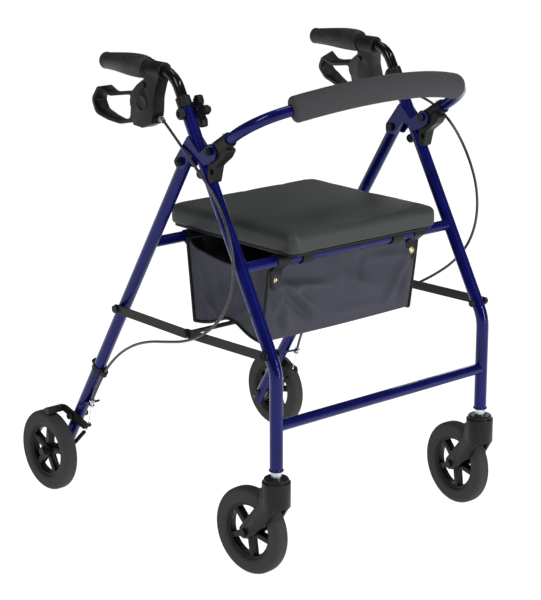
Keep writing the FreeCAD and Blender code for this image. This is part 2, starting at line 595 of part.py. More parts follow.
def brake_levers():
    """Loop lever of one band that widens outward to the rear, with its hub and pull in the housing."""
    outline = [(50, 781), (108, 772), (131, 783), (151, 757), (140, 735), (112, 724), (88, 719), (50, 727)]
    inset = [(56, 774), (107, 766), (128.5, 775.5), (144, 756), (134, 739.5), (109, 730.5), (88, 726), (60, 733)]
    band = plate(outline, [4, 18, 8, 14, 16, 30, 30, 4], -6.5, 24.0)
    band = band.cut(plate(inset, [6, 13, 5, 9, 11, 24, 24, 8], -8.0, 26.0))
    plan = [(-6.5, 40), (-6.5, 85), (-3.5, 130), (-3.5, 170), (24, 170), (24, 130), (8.5, 85), (8.5, 40)]
    points = [place(out, y, 700) for out, y in plan]
    band = band.common(Part.Face(Part.Wire(rounded_path(points, [0, 30, 30, 0, 0, 20, 40, 0], True)))
                       .extrude(Vector(0, 0, 100)))
    web = plate([(53, 775), (53, 733), (38, 731), (14, 733), (8, 752), (11, 794), (20, 794), (33, 781)],
                [2, 2, 4, 4, 8, 4, 3, 4], -5.0, 7.0)
    hub = cross_rod(LEVER_PIVOT, -7.0, 9.0, 5.8)
    lever = fuse(*band.Solids, web, hub)
    lever = lever.cut(cross_rod(LEVER_PIVOT, -10, 12, 3.0))
    keep_brake("brake_lever", lever)


def star_knobs():
    """Knob with five tapering lobes on the inner end of the clamp bolt."""
    y, z = post_at(CLAMP_Z)
    pieces = [cross_rod((y, z), -29, -16.5, 13.0), cross_rod((y, z), -17, -13.2, 10.0)]
    half_lobe = [(6, 5.5), (19, 8.5), (28, 3.5)]
    for step in range(5):
        turn = math.radians(72 * step + 20)
        corners = half_lobe + [(r, -w) for r, w in reversed(half_lobe)]
        outline = [(y + r * math.cos(turn) - w * math.sin(turn), z + r * math.sin(turn) + w * math.cos(turn))
                   for r, w in corners]
        pieces.append(plate(outline, [0, 4, 3, 3, 4, 0], -28, -17))
    knob = fuse(*pieces).cut(cross_rod((y, z), -26, -10, 3.0 + RUN_CLEAR))
    keep_pair("star_knob", knob)


# ---- backrest -----------------------------------------------------------------------
def in_backrest(x, v, lift=0.0):
    """Point of the backrest's plane: x across, v out from the pivot axis, lift above it."""
    tilt = math.radians(BACKREST_TILT)
    y = BACKREST_PIVOT[0] - v * math.cos(tilt) + lift * math.sin(tilt)
    return Vector(x, y, BACKREST_PIVOT[1] + v * math.sin(tilt) + lift * math.cos(tilt))


def backrest_arc(half_x):
    """Arc edge of the broad front curve between -half_x and half_x."""
    radius = (BACKREST_SPAN ** 2 + BACKREST_SAG ** 2) / (2 * BACKREST_SAG)
    drop = radius - math.sqrt(radius ** 2 - half_x ** 2)
    ends = [in_backrest(sign * half_x, BACKREST_REACH - drop) for sign in (1, -1)]
    return Part.Arc(ends[0], in_backrest(0, BACKREST_REACH), ends[1]).toShape(), radius


def backrest_edges():
    """Centre line of the whole backrest tube: two arms, two bends and the front arc."""
    arc, radius = backrest_arc(BACKREST_SPAN)
    slope = math.asin(BACKREST_SPAN / radius)
    run = BACKREST_ARM_X - BACKREST_SPAN
    corner_v = BACKREST_REACH - BACKREST_SAG - run * math.tan(slope)
    tangent = run / math.cos(slope)
    bend = tangent / math.tan((math.pi / 2 - slope) / 2)
    edges = {}
    for sign in (1, -1):
        corner = in_backrest(sign * BACKREST_ARM_X, corner_v)
        start = in_backrest(sign * BACKREST_ARM_X, corner_v - tangent)
        end = in_backrest(sign * BACKREST_SPAN, BACKREST_REACH - BACKREST_SAG)
        inward = ((start - corner).normalize() + (end - corner).normalize()).normalize()
        middle = corner + inward * (math.hypot(bend, tangent) - bend)
        foot = in_backrest(sign * BACKREST_ARM_X, 17.0)
        edges[sign] = (foot, start, middle, end)
    foot, start, middle, end = edges[1]
    path = [Part.LineSegment(foot, start).toShape(), Part.Arc(start, middle, end).toShape(), arc]
    foot, start, middle, end = edges[-1]
    return path + [Part.Arc(end, middle, start).toShape(), Part.LineSegment(start, foot).toShape()]


def backrest():
    """Curved tube, its foam pad, the two sockets that hinge on the plates and their buttons."""
    edges = backrest_edges()
    tube = pipe(edges, BAR_R).cut(pipe(edges, BAR_BORE_R))
    arc, _ = backrest_arc(PAD_HALF_X)
    pad = pipe([arc], PAD_R)
    pad = pad.makeFillet(8.0, [e for e in pad.Edges if e.Closed and abs(e.Length - 2 * math.pi * PAD_R) < 1])
    full_arc, _ = backrest_arc(BACKREST_SPAN - 0.5)
    keep("backrest_pad", pad.cut(pipe([full_arc], BAR_R + 0.05)))

    button_at = in_backrest(BACKREST_ARM_X, 36.0)
    up = (in_backrest(0, 0, 1) - in_backrest(0, 0, 0)).normalize()
    hole = rod(button_at, button_at + up * 20, 3.0 + RUN_CLEAR)
    keep("backrest_tube", tube.cut(hole).cut(mirrored(hole)))
    button = fuse(rod(button_at + up * 4.5, button_at + up * 14.5, 3.0),
                  rod(button_at + up * 3.5, button_at + up * 4.7, 2.9))
    keep_pair("release_button", button.cut(rod(button_at, button_at + up * 1, 0.5)))

    outline = [
        (-149, 694), (-151, 658), (-156, 653), (-163, 657), (-170, 684), (-191, 700), (-201, 714),
        (-176, 728), (-160, 720), (-147, 712),
    ]
    tail = plate(outline, [3, 3, 3, 4, 8, 3, 3, 8, 4, 6], -9.5, 9.5)
    sleeve = rod(in_backrest(BACKREST_ARM_X, 8), in_backrest(BACKREST_ARM_X, 46), 12.6)
    hub = cross_rod(BACKREST_PIVOT, -11.0, 11.0, 12.0)
    socket = fuse(tail, sleeve, hub)
    socket = socket.cut(rod(in_backrest(BACKREST_ARM_X, 16.9), in_backrest(BACKREST_ARM_X, 60), BAR_R + 0.05))
    socket = socket.cut(hole).cut(cross_rod(BACKREST_PIVOT, -20, 20, 4.0))
    for out_from, out_to in ((11.1, 16.0), (-16.0, -11.1)):
        socket = socket.cut(cross_rod(BACKREST_PIVOT, out_from, out_to, 21.0))
    opening = [(-163.5, 669), (-157, 669), (-157, 678), (-164.5, 678)]
    window = fuse(plate(opening, 1.0, 5.0, 12.0), plate(opening, 1.0, -12.0, -5.0))
    post = rod(place(0, *post_at(600)), place(0, *post_at(800)), LEG_R + 0.3)
    keep_both("backrest_sockets", socket.cut(window).cut(post))


# ---- seat and bag -------------------------------------------------------------------
def rounded_slab(half_x, y_from, y_to, z_from, z_to, corner, edge):
    """Flat slab with rounded corners in plan and a rolled upper edge."""
    points = [Vector(-half_x, y_from, z_from), Vector(half_x, y_from, z_from),
              Vector(half_x, y_to, z_from), Vector(-half_x, y_to, z_from)]
    face = Part.Face(Part.Wire(rounded_path(points, [corner] * 4, True)))
    slab = face.extrude(Vector(0, 0, z_to - z_from))
    if edge:
        slab = slab.makeFillet(edge, [e for e in slab.Edges if e.BoundBox.ZMin > z_to - 0.01])
    return slab


def seat():
    """Padded seat on its board, hinged on the front seat bar by two clips."""
    keep("seat_pad", rounded_slab(SEAT_HALF, SEAT_FRONT_Y, SEAT_REAR_Y, SEAT_PAD_Z, SEAT_TOP_Z, 20, 10))
    keep("seat_board", rounded_slab(SEAT_HALF - 8, SEAT_FRONT_Y + 8, SEAT_REAR_Y - 8, SEAT_BOARD_Z,
                                    SEAT_PAD_Z - 0.05, 16, 0))
    for x in (-SEAT_CLIP_X, SEAT_CLIP_X):
        start, end = Vector(x - 12, SEAT_HINGE_Y, SEAT_BAR_Z), Vector(x + 12, SEAT_HINGE_Y, SEAT_BAR_Z)
        ring = rod(start, end, BAR_R + 2.8)
        flange = Part.makeBox(24, 44, 3.0, Vector(x - 12, SEAT_HINGE_Y - 8, SEAT_BOARD_Z - 3.05))
        keep("seat_clips", fuse(ring, flange).cut(rod(start - X_AXIS * 5, end + X_AXIS * 5, BAR_R + RUN_CLEAR)))


def bag_outline(inset):
    """Side view of the bag: its floor is lifted in the middle by the rod of the braces."""
    return [
        (-213 + inset, 509), (-194 + inset, 372 + inset), (-150, 383 + inset), (-100, 393.5 + inset),
        (-60, 386 + inset), (-12 - inset, 372 + inset), (2 - inset, 509),
    ]


def storage_bag():
    """Bag open at the top, hung between the two seat bars."""
    out = BAG_HALF - LEG_X
    radii = [0, 8, 30, 30, 30, 8, 0]
    outer = plate(bag_outline(0), radii, -out - 2 * LEG_X, out)
    inner = [(y, z + (8 if z > 500 else 0)) for y, z in bag_outline(BAG_WALL)]
    hollow = plate(inner, radii, -out - 2 * LEG_X + BAG_WALL, out - BAG_WALL)
    keep("storage_bag", outer.cut(hollow))


# ---- brake cables -------------------------------------------------------------------
def brake_cables():
    """Sheath and bare wire of each cable, from the upper adjuster to the brake arm."""
    for name, sign, route in (("left", 1, LEFT_CABLE), ("right", -1, RIGHT_CABLE)):
        points = [Vector(sign * (LEG_X + out), y, z) for out, y, z in route]
        edges, radii = cable_edges(points)
        sheath = pipe(edges, CABLE_R)
        length = sum(edge.Length for edge in edges)
        expected = math.pi * CABLE_R ** 2 * length
        print("cable", name, "length", round(length, 1), "least radius", round(min(radii), 1),
              "radii", [round(r) for r in radii], "volume ratio", round(sheath.Volume / expected, 4))
        low = anchor_point()
        low.x *= sign
        along = (low - points[-1]).normalize()
        wire = rod(points[-1] + along * 0.1, low - along * (BRAKE_PEG_R + 0.3), WIRE_R - 0.05)
        keep("brake_cable_" + name, sheath, wire)


def write_parts():
    """One STEP file for each node."""
    os.makedirs("parts", exist_ok=True)
    for name, shapes in parts.items():
        solids = [solid for shape in shapes for solid in shape.Solids]
        whole = solids[0] if len(solids) == 1 else Part.makeCompound(solids)
        whole.translate(Vector(0, -BOX_CENTRE_Y, 0))
        whole.exportStep("parts/" + name + ".step")
        box = whole.BoundBox
        print(f"{name:22s} solids {len(solids)} valid {whole.isValid()} volume {whole.Volume:.0f} "
              f"x {box.XMin:.1f}..{box.XMax:.1f} y {box.YMin:.1f}..{box.YMax:.1f} "
              f"z {box.ZMin:.1f}..{box.ZMax:.1f}")


for build in (front_legs, front_bars, hinge_plates, post_fittings, frame_bolts, caster_stems, rear_legs,
              rear_axles, cable_fittings, brake_parts, wheels, caster_forks, braces, handle_tubes, grips,
              brake_housings, brake_levers, star_knobs, backrest, seat, storage_bag, brake_cables):
    build()
write_parts()
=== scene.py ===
"""Looks of a folding four-wheel walker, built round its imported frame.

Frame: metres, +Z up, the front (swivel wheels) faces -Y and the user's left is +X.
Each sub-assembly is a class that holds its sizes and builds and dresses its pieces;
each finish is a small frozen class that makes one shared material.
"""
import json
import logging
import math
from collections.abc import Callable, Iterator, Sequence
from contextlib import contextmanager
from dataclasses import dataclass, field
from enum import Enum

import bmesh
import bpy
from mathutils import Matrix, Vector

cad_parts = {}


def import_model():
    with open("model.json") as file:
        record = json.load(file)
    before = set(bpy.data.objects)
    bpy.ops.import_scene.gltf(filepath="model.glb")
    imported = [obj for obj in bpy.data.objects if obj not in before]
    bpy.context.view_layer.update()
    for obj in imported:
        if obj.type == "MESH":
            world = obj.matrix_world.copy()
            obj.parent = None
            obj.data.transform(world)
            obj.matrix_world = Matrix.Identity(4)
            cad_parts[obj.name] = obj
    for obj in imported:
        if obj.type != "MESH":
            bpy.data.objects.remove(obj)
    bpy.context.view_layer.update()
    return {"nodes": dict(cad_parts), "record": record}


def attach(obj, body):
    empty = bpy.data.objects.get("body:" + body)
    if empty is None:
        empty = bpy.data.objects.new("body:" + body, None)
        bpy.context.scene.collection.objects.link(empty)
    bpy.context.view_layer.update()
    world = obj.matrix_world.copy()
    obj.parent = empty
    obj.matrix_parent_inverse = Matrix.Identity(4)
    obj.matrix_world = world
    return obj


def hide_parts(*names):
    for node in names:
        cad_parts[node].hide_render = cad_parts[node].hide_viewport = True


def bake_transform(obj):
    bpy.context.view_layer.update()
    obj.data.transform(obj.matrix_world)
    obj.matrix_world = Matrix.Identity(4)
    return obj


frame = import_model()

log = logging.getLogger("walker")
Point = tuple[float, float, float]
Colour = tuple[float, float, float]
MM = 0.001
LEG_PLANE = 244.0        # plane of the legs on each side, mm from the middle
BOX_CENTRE_Y = 16.6      # the sizes below measure y from a plane this far in front of the origin, mm
BODY_OF = {node: body for body, nodes in frame["record"]["behaviour"]["bodies"].items() for node in nodes}


def world(point: Sequence[float]) -> Vector:
    """A place in metres from one given in mm."""
    return Vector((point[0], point[1] - BOX_CENTRE_Y, point[2])) * MM


class Side(Enum):
    """The user's left is +X."""

    LEFT = 1
    RIGHT = -1

    @property
    def word(self) -> str:
        """The side as it stands in the names."""
        return self.name.lower()

    def at(self, out: float, y: float, z: float) -> Vector:
        """A place on this side in metres, from mm out of the leg plane, y and z."""
        return world((self.value * (LEG_PLANE + out), y, z))


# ---- finishes -----------------------------------------------------------------------
class Graph:
    """The node tree of one material, with short ways to add and join nodes."""

    def __init__(self, name: str) -> None:
        """Starts a material with its principled shader.

        Args:
            name: name of the material.
        """
        self.material = bpy.data.materials.new(name)
        self.material.use_nodes = True
        self.tree = self.material.node_tree
        self.shader = self.tree.nodes["Principled BSDF"]
        self.place = self.node("ShaderNodeTexCoord").outputs["Object"]

    def node(self, kind: str, inputs: dict | None = None, **settings: object) -> bpy.types.Node:
        """Adds a node.

        Args:
            kind: the node's type name.
            inputs: values or sockets for its inputs, by name or number.
            **settings: the node's own properties.

        Returns:
            The new node.
        """
        made = self.tree.nodes.new(kind)
        for key, value in settings.items():
            setattr(made, key, value)
        for key, value in (inputs or {}).items():
            if isinstance(value, bpy.types.NodeSocket):
                self.tree.links.new(value, made.inputs[key])
            else:
                made.inputs[key].default_value = value
        return made

    def noise(self, scale: float, detail: float = 4.0, stretch: Point = (1, 1, 1)) -> bpy.types.NodeSocket:
        """Fractal noise over the object's own coordinates.

        Args:
            scale: features per metre.
            detail: octaves.
            stretch: scale along each axis.

        Returns:
            The noise value's socket.
        """
        where = self.node("ShaderNodeMapping", {"Vector": self.place, "Scale": stretch}).outputs[0]
        return self.node("ShaderNodeTexNoise", {"Vector": where, "Scale": scale, "Detail": detail}).outputs[0]

    def cells(self, scale: float) -> bpy.types.NodeSocket:
        """Distance to the nearest of scattered points, for pebbled grains."""
        return self.node("ShaderNodeTexVoronoi", {"Vector": self.place, "Scale": scale}).outputs["Distance"]

    def ramp(self, value: bpy.types.NodeSocket, low: tuple, high: tuple) -> bpy.types.NodeSocket:
        """Maps a value to a colour.

        Args:
            value: the driving value.
            low: (position, colour) of the dark end.
            high: (position, colour) of the bright end.

        Returns:
            The colour's socket.
        """
        made = self.node("ShaderNodeValToRGB", {0: value})
        for element, (position, colour) in zip(made.color_ramp.elements, (low, high)):
            element.position = position
            element.color = (*colour, 1.0)
        return made.outputs[0]

    def spread(self, value: bpy.types.NodeSocket, low: float, high: float) -> bpy.types.NodeSocket:
        """Maps a value of 0.3 to 0.7 to the range low to high."""
        return self.node("ShaderNodeMapRange", {0: value, 1: 0.3, 2: 0.7, 3: low, 4: high}).outputs[0]

    def sum(self, first: bpy.types.NodeSocket, second: bpy.types.NodeSocket,
            share: float) -> bpy.types.NodeSocket:
        """The first value plus a share of the second."""
        return self.node("ShaderNodeMath", {0: second, 1: share, 2: first},
                         operation="MULTIPLY_ADD").outputs[0]

    def relief(self, height: bpy.types.NodeSocket, depth: float, strength: float = 1.0) -> None:
        """Raises the surface by a height map.

        Args:
            height: the height value.
            depth: metres for a height of one.
            strength: share of the effect.
        """
        bump = self.node("ShaderNodeBump", {"Height": height, "Distance": depth, "Strength": strength})
        self.tree.links.new(bump.outputs[0], self.shader.inputs["Normal"])

    def surface(self, **values: object) -> None:
        """Sets the shader's inputs; underscores stand for spaces in their names."""
        for key, value in values.items():
            socket = self.shader.inputs[key.replace("_", " ")]
            if isinstance(value, bpy.types.NodeSocket):
                self.tree.links.new(value, socket)
            else:
                socket.default_value = value


@dataclass(frozen=True)
class Finish:
    """A finish whose material is made once and shared by all that wear it."""

    name: str
    colour: Colour

    def shade(self, factor: float) -> Colour:
        """The colour, brighter or darker."""
        return tuple(min(1.0, channel * factor) for channel in self.colour)

    def paint(self, graph: Graph) -> None:
        """Fills in the material's nodes."""
        raise NotImplementedError

    def material(self) -> bpy.types.Material:
        """The shared material.

        Returns:
            The material, made on first use.
        """
        found = bpy.data.materials.get(self.name)
        if found is None:
            graph = Graph(self.name)
            self.paint(graph)
            found = graph.material
        return found


@dataclass(frozen=True)
class Enamel(Finish):
    """Stoved metallic enamel under a clear coat, with a faint orange peel."""

    metallic: float = 0.45
    roughness: float = 0.3
    coat: float = 0.5
    shine: float = 0.1

    def paint(self, graph: Graph) -> None:
        """Flake, cloudy colour and a coat that shows the lights as streaks."""
        flake = graph.noise(2600, 2)
        cloud = graph.noise(22, 3)
        graph.surface(Base_Color=graph.ramp(graph.sum(cloud, flake, 0.5), (0.45, self.shade(0.72)),
                                            (1.0, self.shade(1.5))),
                      Metallic=self.metallic,
                      Roughness=graph.spread(cloud, self.roughness - 0.05, self.roughness + 0.08),
                      Specular_IOR_Level=self.shine, Coat_Weight=self.coat, Coat_Roughness=0.035,
                      Coat_IOR=1.4)
        graph.relief(graph.noise(420, 2), 0.00006, 0.25)


@dataclass(frozen=True)
class Coated(Finish):
    """Black powder coat or oxide on steel, dulled, with rubbed edges and dust."""

    roughness: float = 0.42

    def paint(self, graph: Graph) -> None:
        """Speckled coat with a little metal in it."""
        speck = graph.noise(900, 3)
        wear = graph.noise(60, 5)
        graph.surface(Base_Color=graph.ramp(graph.sum(speck, wear, 0.8), (0.55, self.shade(0.7)),
                                            (1.25, self.shade(2.2))),
                      Metallic=0.3, Specular_IOR_Level=0.25,
                      Roughness=graph.spread(wear, self.roughness - 0.1, self.roughness + 0.12))
        graph.relief(speck, 0.0001, 0.5)


@dataclass(frozen=True)
class Plated(Finish):
    """Bright plated or brushed metal."""

    roughness: float = 0.28

    def paint(self, graph: Graph) -> None:
        """Fine scratches along one way and cloudy plating."""
        brushed = graph.noise(160, 4, (1, 1, 14))
        cloud = graph.noise(90, 3)
        graph.surface(Base_Color=graph.ramp(cloud, (0.3, self.shade(0.78)), (0.7, self.shade(1.08))),
                      Metallic=1.0,
                      Roughness=graph.spread(brushed, self.roughness - 0.1, self.roughness + 0.14))
        graph.relief(brushed, 0.00005, 0.4)


@dataclass(frozen=True)
class Moulded(Finish):
    """Moulded plastic with a spark-eroded grain and light scuffs."""

    roughness: float = 0.4
    grain: float = 1400.0
    depth: float = 0.0001
    shine: float = 0.2

    def paint(self, graph: Graph) -> None:
        """Grain in the surface and in its gloss."""
        grain = graph.noise(self.grain, 3)
        scuff = graph.noise(48, 6)
        graph.surface(Base_Color=graph.ramp(scuff, (0.35, self.shade(0.8)), (0.75, self.shade(1.5))),
                      Roughness=graph.spread(scuff, self.roughness - 0.07, self.roughness + 0.12),
                      Specular_IOR_Level=self.shine)
        graph.relief(grain, self.depth, 0.6)


@dataclass(frozen=True)
class Pebbled(Finish):
    """Pebbled skin of vinyl, rubber or moulded foam, with painted shade and painted highlights in its pebbles."""

    roughness: float = 0.45
    pebbles: float = 900.0
    depth: float = 0.00018
    # strength of the painted shade in the pits and the painted highlight on the ridges
    contrast: float = 1.3
    shine: float = 0.22

    def paint(self, graph: Graph) -> None:
        """Pebbles with painted shade in their pits and painted highlights on their ridges, over soft unevenness."""
        pebble = graph.cells(self.pebbles)
        soft = graph.noise(30, 4)
        # the pebble distance paints shade into the pits and highlights onto the ridges between them; the soft noise is
        # a random tone
        graph.surface(Base_Color=graph.ramp(graph.sum(soft, pebble, 0.5),
                                            (0.45, self.shade(1 / self.contrast)),
                                            (1.0, self.shade(self.contrast))),
                      Roughness=graph.spread(soft, self.roughness - 0.06, self.roughness + 0.08),
                      Specular_IOR_Level=self.shine)
        graph.relief(graph.sum(graph.noise(self.pebbles * 1.7, 2), pebble, 1.2), self.depth, 0.8)


@dataclass(frozen=True)
class Woven(Finish):
    """Coated plain-weave cloth with a silky sheen."""

    threads: float = 1500.0
    roughness: float = 0.42
    sheen: float = 0.35

    def paint(self, graph: Graph) -> None:
        """Warp and weft as crossed waves, over painted shade and light of soft creases."""
        waves = [
            graph.node("ShaderNodeTexWave",
                       {"Vector": graph.place, "Scale": self.threads / 6.283, "Distortion": 0.6},
                       bands_direction=axis).outputs["Fac"] for axis in ("X", "Z")
        ]
        weave = graph.node("ShaderNodeMath", {0: waves[0], 1: waves[1]}, operation="MULTIPLY").outputs[0]
        crease_shade = graph.noise(26, 5)
        # the crease noise paints shade and light of soft creases into the colour; it also varies the gloss
        graph.surface(Base_Color=graph.ramp(graph.sum(crease_shade, weave, 0.4), (0.4, self.shade(0.72)),
                                            (0.95, self.shade(1.45))),
                      Roughness=graph.spread(crease_shade, self.roughness - 0.06, self.roughness + 0.12),
                      Specular_IOR_Level=0.28, Sheen_Weight=self.sheen, Sheen_Roughness=0.35)
        graph.relief(graph.sum(graph.noise(70, 5), weave, 0.12), 0.0016, 0.55)


FRAME_PAINT = Enamel("enamel_blue", (0.0016, 0.0032, 0.085), 0.3, 0.3)
HANDLE_PAINT = Enamel("enamel_black", (0.004, 0.004, 0.0045), 0.2, 0.22)
STEEL_BLACK = Coated("steel_black", (0.009, 0.009, 0.0096))
ZINC = Plated("zinc", (0.62, 0.64, 0.68))
BRASS = Plated("brass", (0.74, 0.6, 0.36), 0.32)
PLASTIC = Moulded("nylon_black", (0.0088, 0.0092, 0.0098))
RIM_PLASTIC = Moulded("nylon_rim", (0.006, 0.0062, 0.0068), 0.34)
TYRE_RUBBER = Moulded("tyre_rubber", (0.005, 0.0052, 0.0056), 0.27, 500, 0.00006)
BUMPER_RUBBER = Moulded("rubber", (0.008, 0.008, 0.008), 0.6)
GRIP_RUBBER = Pebbled("grip_rubber", (0.015, 0.0155, 0.017), 0.4, 420, 0.0007, 2.3)
PAD_FOAM = Pebbled("pad_foam", (0.0055, 0.0058, 0.0066), 0.24, 1200, 0.00004, 1.25, 0.2)
SEAT_VINYL = Pebbled("seat_vinyl", (0.0085, 0.009, 0.0089), 0.42, 1100, 0.00014, 1.2, 0.22)
BAG_NYLON = Woven("bag_nylon", (0.0052, 0.0054, 0.006), 1500.0, 0.27, 0.01)
BINDING = Woven("binding", (0.005, 0.005, 0.006), 1100, 0.5, 0.05)
SHEATH = Moulded("cable_sheath", (0.006, 0.006, 0.0064), 0.28, 900, 0.00005)
FINISHES: dict[str, Finish] = {
    "frame_paint": FRAME_PAINT, "handle_paint": HANDLE_PAINT, "black_steel": STEEL_BLACK, "zinc_steel": ZINC,
    "spring_steel": STEEL_BLACK, "brass": BRASS, "black_plastic": PLASTIC, "rim_plastic": RIM_PLASTIC,
    "black_rubber": BUMPER_RUBBER, "tyre_rubber": TYRE_RUBBER, "grip_foam": GRIP_RUBBER, "pad_foam": PAD_FOAM,
    "seat_vinyl": SEAT_VINYL, "bag_nylon": BAG_NYLON, "cable_sheath": SHEATH,
}


# ---- modelling steps ----------------------------------------------------------------
def deselect() -> None:
    """Nothing stays selected."""
    bpy.ops.object.select_all(action="DESELECT")


def grab(piece: bpy.types.Object) -> None:
    """Makes one object the selected and active one."""
    deselect()
    piece.select_set(True)
    bpy.context.view_layer.objects.active = piece


@contextmanager
def editing(piece: bpy.types.Object, mode: str = "FACE") -> Iterator[bmesh.types.BMesh]:
    """Edit mode on one piece.

    Args:
        piece: the piece to edit.
        mode: VERT, EDGE or FACE selection.

    Yields:
        The mesh being edited.
    """
    grab(piece)
    bpy.ops.object.mode_set(mode="EDIT")
    bpy.ops.mesh.select_mode(type=mode)
    bpy.ops.mesh.select_all(action="DESELECT")
    try:
        yield bmesh.from_edit_mesh(piece.data)
    finally:
        bpy.ops.object.mode_set(mode="OBJECT")


def pick(piece: bpy.types.Object, mode: str, test: Callable) -> int:
    """Selects the elements of the edited mesh that pass a test.

    Args:
        piece: the edited piece.
        mode: VERT, EDGE or FACE.
        test: takes a vertex, edge or face and says whether it is wanted.

    Returns:
        How many are selected.
    """
    bpy.ops.mesh.select_mode(type=mode)
    bpy.ops.mesh.select_all(action="DESELECT")
    mesh = bmesh.from_edit_mesh(piece.data)
    elements = {"VERT": mesh.verts, "EDGE": mesh.edges, "FACE": mesh.faces}[mode]
    chosen = [element for element in elements if test(element)]
    for element in chosen:
        element.select_set(True)
    mesh.select_flush_mode()
    bmesh.update_edit_mesh(piece.data)
    return len(chosen)


def middle(edge: bmesh.types.BMEdge) -> Vector:
    """Middle of an edge."""
    return (edge.verts[0].co + edge.verts[1].co) / 2


def from_axis(point: Vector) -> float:
    """Distance from the X axis."""
    return math.hypot(point.y, point.z)


def fresh(name: str) -> bpy.types.Object:
    """The primitive just added, named, with its place put in its mesh."""
    piece = bpy.context.active_object
    piece.name = piece.data.name = name
    bpy.ops.object.transform_apply(location=True, rotation=True, scale=True)
    return piece


def outward(piece: bpy.types.Object) -> None:
    """Merges doubles and turns every face outwards."""
    with editing(piece):
        bpy.ops.mesh.select_all(action="SELECT")
        bpy.ops.mesh.remove_doubles(threshold=0.00001)
        bpy.ops.mesh.normals_make_consistent(inside=False)


def modify(piece: bpy.types.Object, kind: str, **settings: object) -> None:
    """Adds a modifier and applies it.

    Args:
        piece: the piece.
        kind: the modifier's type.
        **settings: its properties.
    """
    grab(piece)
    modifier = piece.modifiers.new(kind.lower(), kind)
    for key, value in settings.items():
        setattr(modifier, key, value)
    bpy.ops.object.modifier_apply(modifier=modifier.name)


def rounded(piece: bpy.types.Object, width: float, segments: int = 2, angle: float = 35.0) -> None:
    """Rounds the sharp edges by a width in metres."""
    modify(piece, "BEVEL", width=width, segments=segments, limit_method="ANGLE",
           angle_limit=math.radians(angle))


def smooth(piece: bpy.types.Object, angle: float = 32.0) -> None:
    """Smooth shading with sharp edges kept."""
    grab(piece)
    bpy.ops.object.shade_smooth_by_angle(angle=math.radians(angle))


def settle(piece: bpy.types.Object, body: str, finish: Finish, *nodes: str) -> bpy.types.Object:
    """Dresses a piece, hangs it on its body and hides what it stands for.

    Args:
        piece: the finished mesh.
        body: the body that it rides on.
        finish: its finish.
        *nodes: the CAD nodes that it stands for.

    Returns:
        The piece.
    """
    if not piece.data.materials:
        piece.data.materials.append(finish.material())
    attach(piece, body)
    if nodes:
        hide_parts(*nodes)
    log.info("%s on %s: %d faces", piece.name, body, len(piece.data.polygons))
    return piece


def lofted(name: str, stations: Sequence[tuple], vertices: int = 32, turn: float = 0.0) -> bpy.types.Object:
    """A closed form through a row of rounds, extruded from one to the next.

    Args:
        name: the piece's name.
        stations: (centre, radius) or (centre, across, upright), in metres, along one line.
        vertices: points around.
        turn: degrees that the rounds are turned about their line.

    Returns:
        The piece, with its faces outwards.
    """
    centres = [Vector(station[0]) for station in stations]
    along = (centres[-1] - centres[0]).normalized()
    attitude = Vector((0, 0, 1)).rotation_difference(along) @ Matrix.Rotation(math.radians(turn), 3,
        "Z").to_quaternion()
    deselect()
    bpy.ops.mesh.primitive_circle_add(vertices=vertices, radius=1.0, fill_type="NGON", location=centres[0],
                                      rotation=attitude.to_euler())
    piece = fresh(name)
    sizes = [(station[1], station[-1]) for station in stations]
    before = (1.0, 1.0)
    across = Vector((1, 0, 0)) if abs(along.x) < 0.9 else Vector((0, 1, 0))
    with editing(piece):
        bpy.ops.mesh.select_all(action="SELECT")
        for index, (centre, size) in enumerate(zip(centres, sizes)):
            if index:
                bpy.ops.mesh.extrude_region_move(TRANSFORM_OT_translate={"value": centre - centres[index - 1]})
            ratio = (size[0] / before[0], size[1] / before[1])
            value = tuple(ratio[0] if across[axis] > 0.5 else ratio[1] for axis in range(3))
            if abs(ratio[0] - ratio[1]) < 1e-9:
                value = (ratio[0],) * 3
            bpy.ops.transform.resize(value=value, center_override=centre)
            before = size
    outward(piece)
    return piece


def ring(name: str, outer: float, inner: float, width: float, vertices: int = 80) -> bpy.types.Object:
    """A flat-sided ring about the X axis, cut from a cylinder.

    Args:
        name: the piece's name.
        outer: outer radius.
        inner: inner radius.
        width: width along X.
        vertices: points around.

    Returns:
        The ring.
    """
    deselect()
    bpy.ops.mesh.primitive_cylinder_add(vertices=vertices, radius=outer, depth=width,
                                        rotation=(0, math.pi / 2, 0))
    piece = fresh(name)
    with editing(piece):
        pick(piece, "FACE", lambda face: abs(face.normal.x) > 0.9)
        bpy.ops.mesh.inset(thickness=(outer - inner) * math.cos(math.pi / vertices))
        bpy.ops.mesh.delete(type="FACE")
        pick(piece, "EDGE", lambda edge: edge.is_boundary)
        bpy.ops.mesh.bridge_edge_loops()
    outward(piece)
    return piece


def joined(name: str, pieces: Sequence[bpy.types.Object]) -> bpy.types.Object:
    """Several pieces as one object."""
    grab(pieces[0])
    for piece in pieces:
        piece.select_set(True)
    bpy.ops.object.join()
    pieces[0].name = pieces[0].data.name = name
    return pieces[0]


def copied(source: bpy.types.Object, name: str, matrix: Matrix) -> bpy.types.Object:
    """A copy with its own mesh, moved in the mesh.

    Args:
        source: the piece to copy.
        name: the copy's name.
        matrix: where it goes.

    Returns:
        The copy.
    """
    piece = bpy.data.objects.new(name, source.data.copy())
    piece.data.name = name
    bpy.context.collection.objects.link(piece)
    piece.data.transform(matrix)
    if matrix.determinant() < 0:
        piece.data.flip_normals()
    return piece


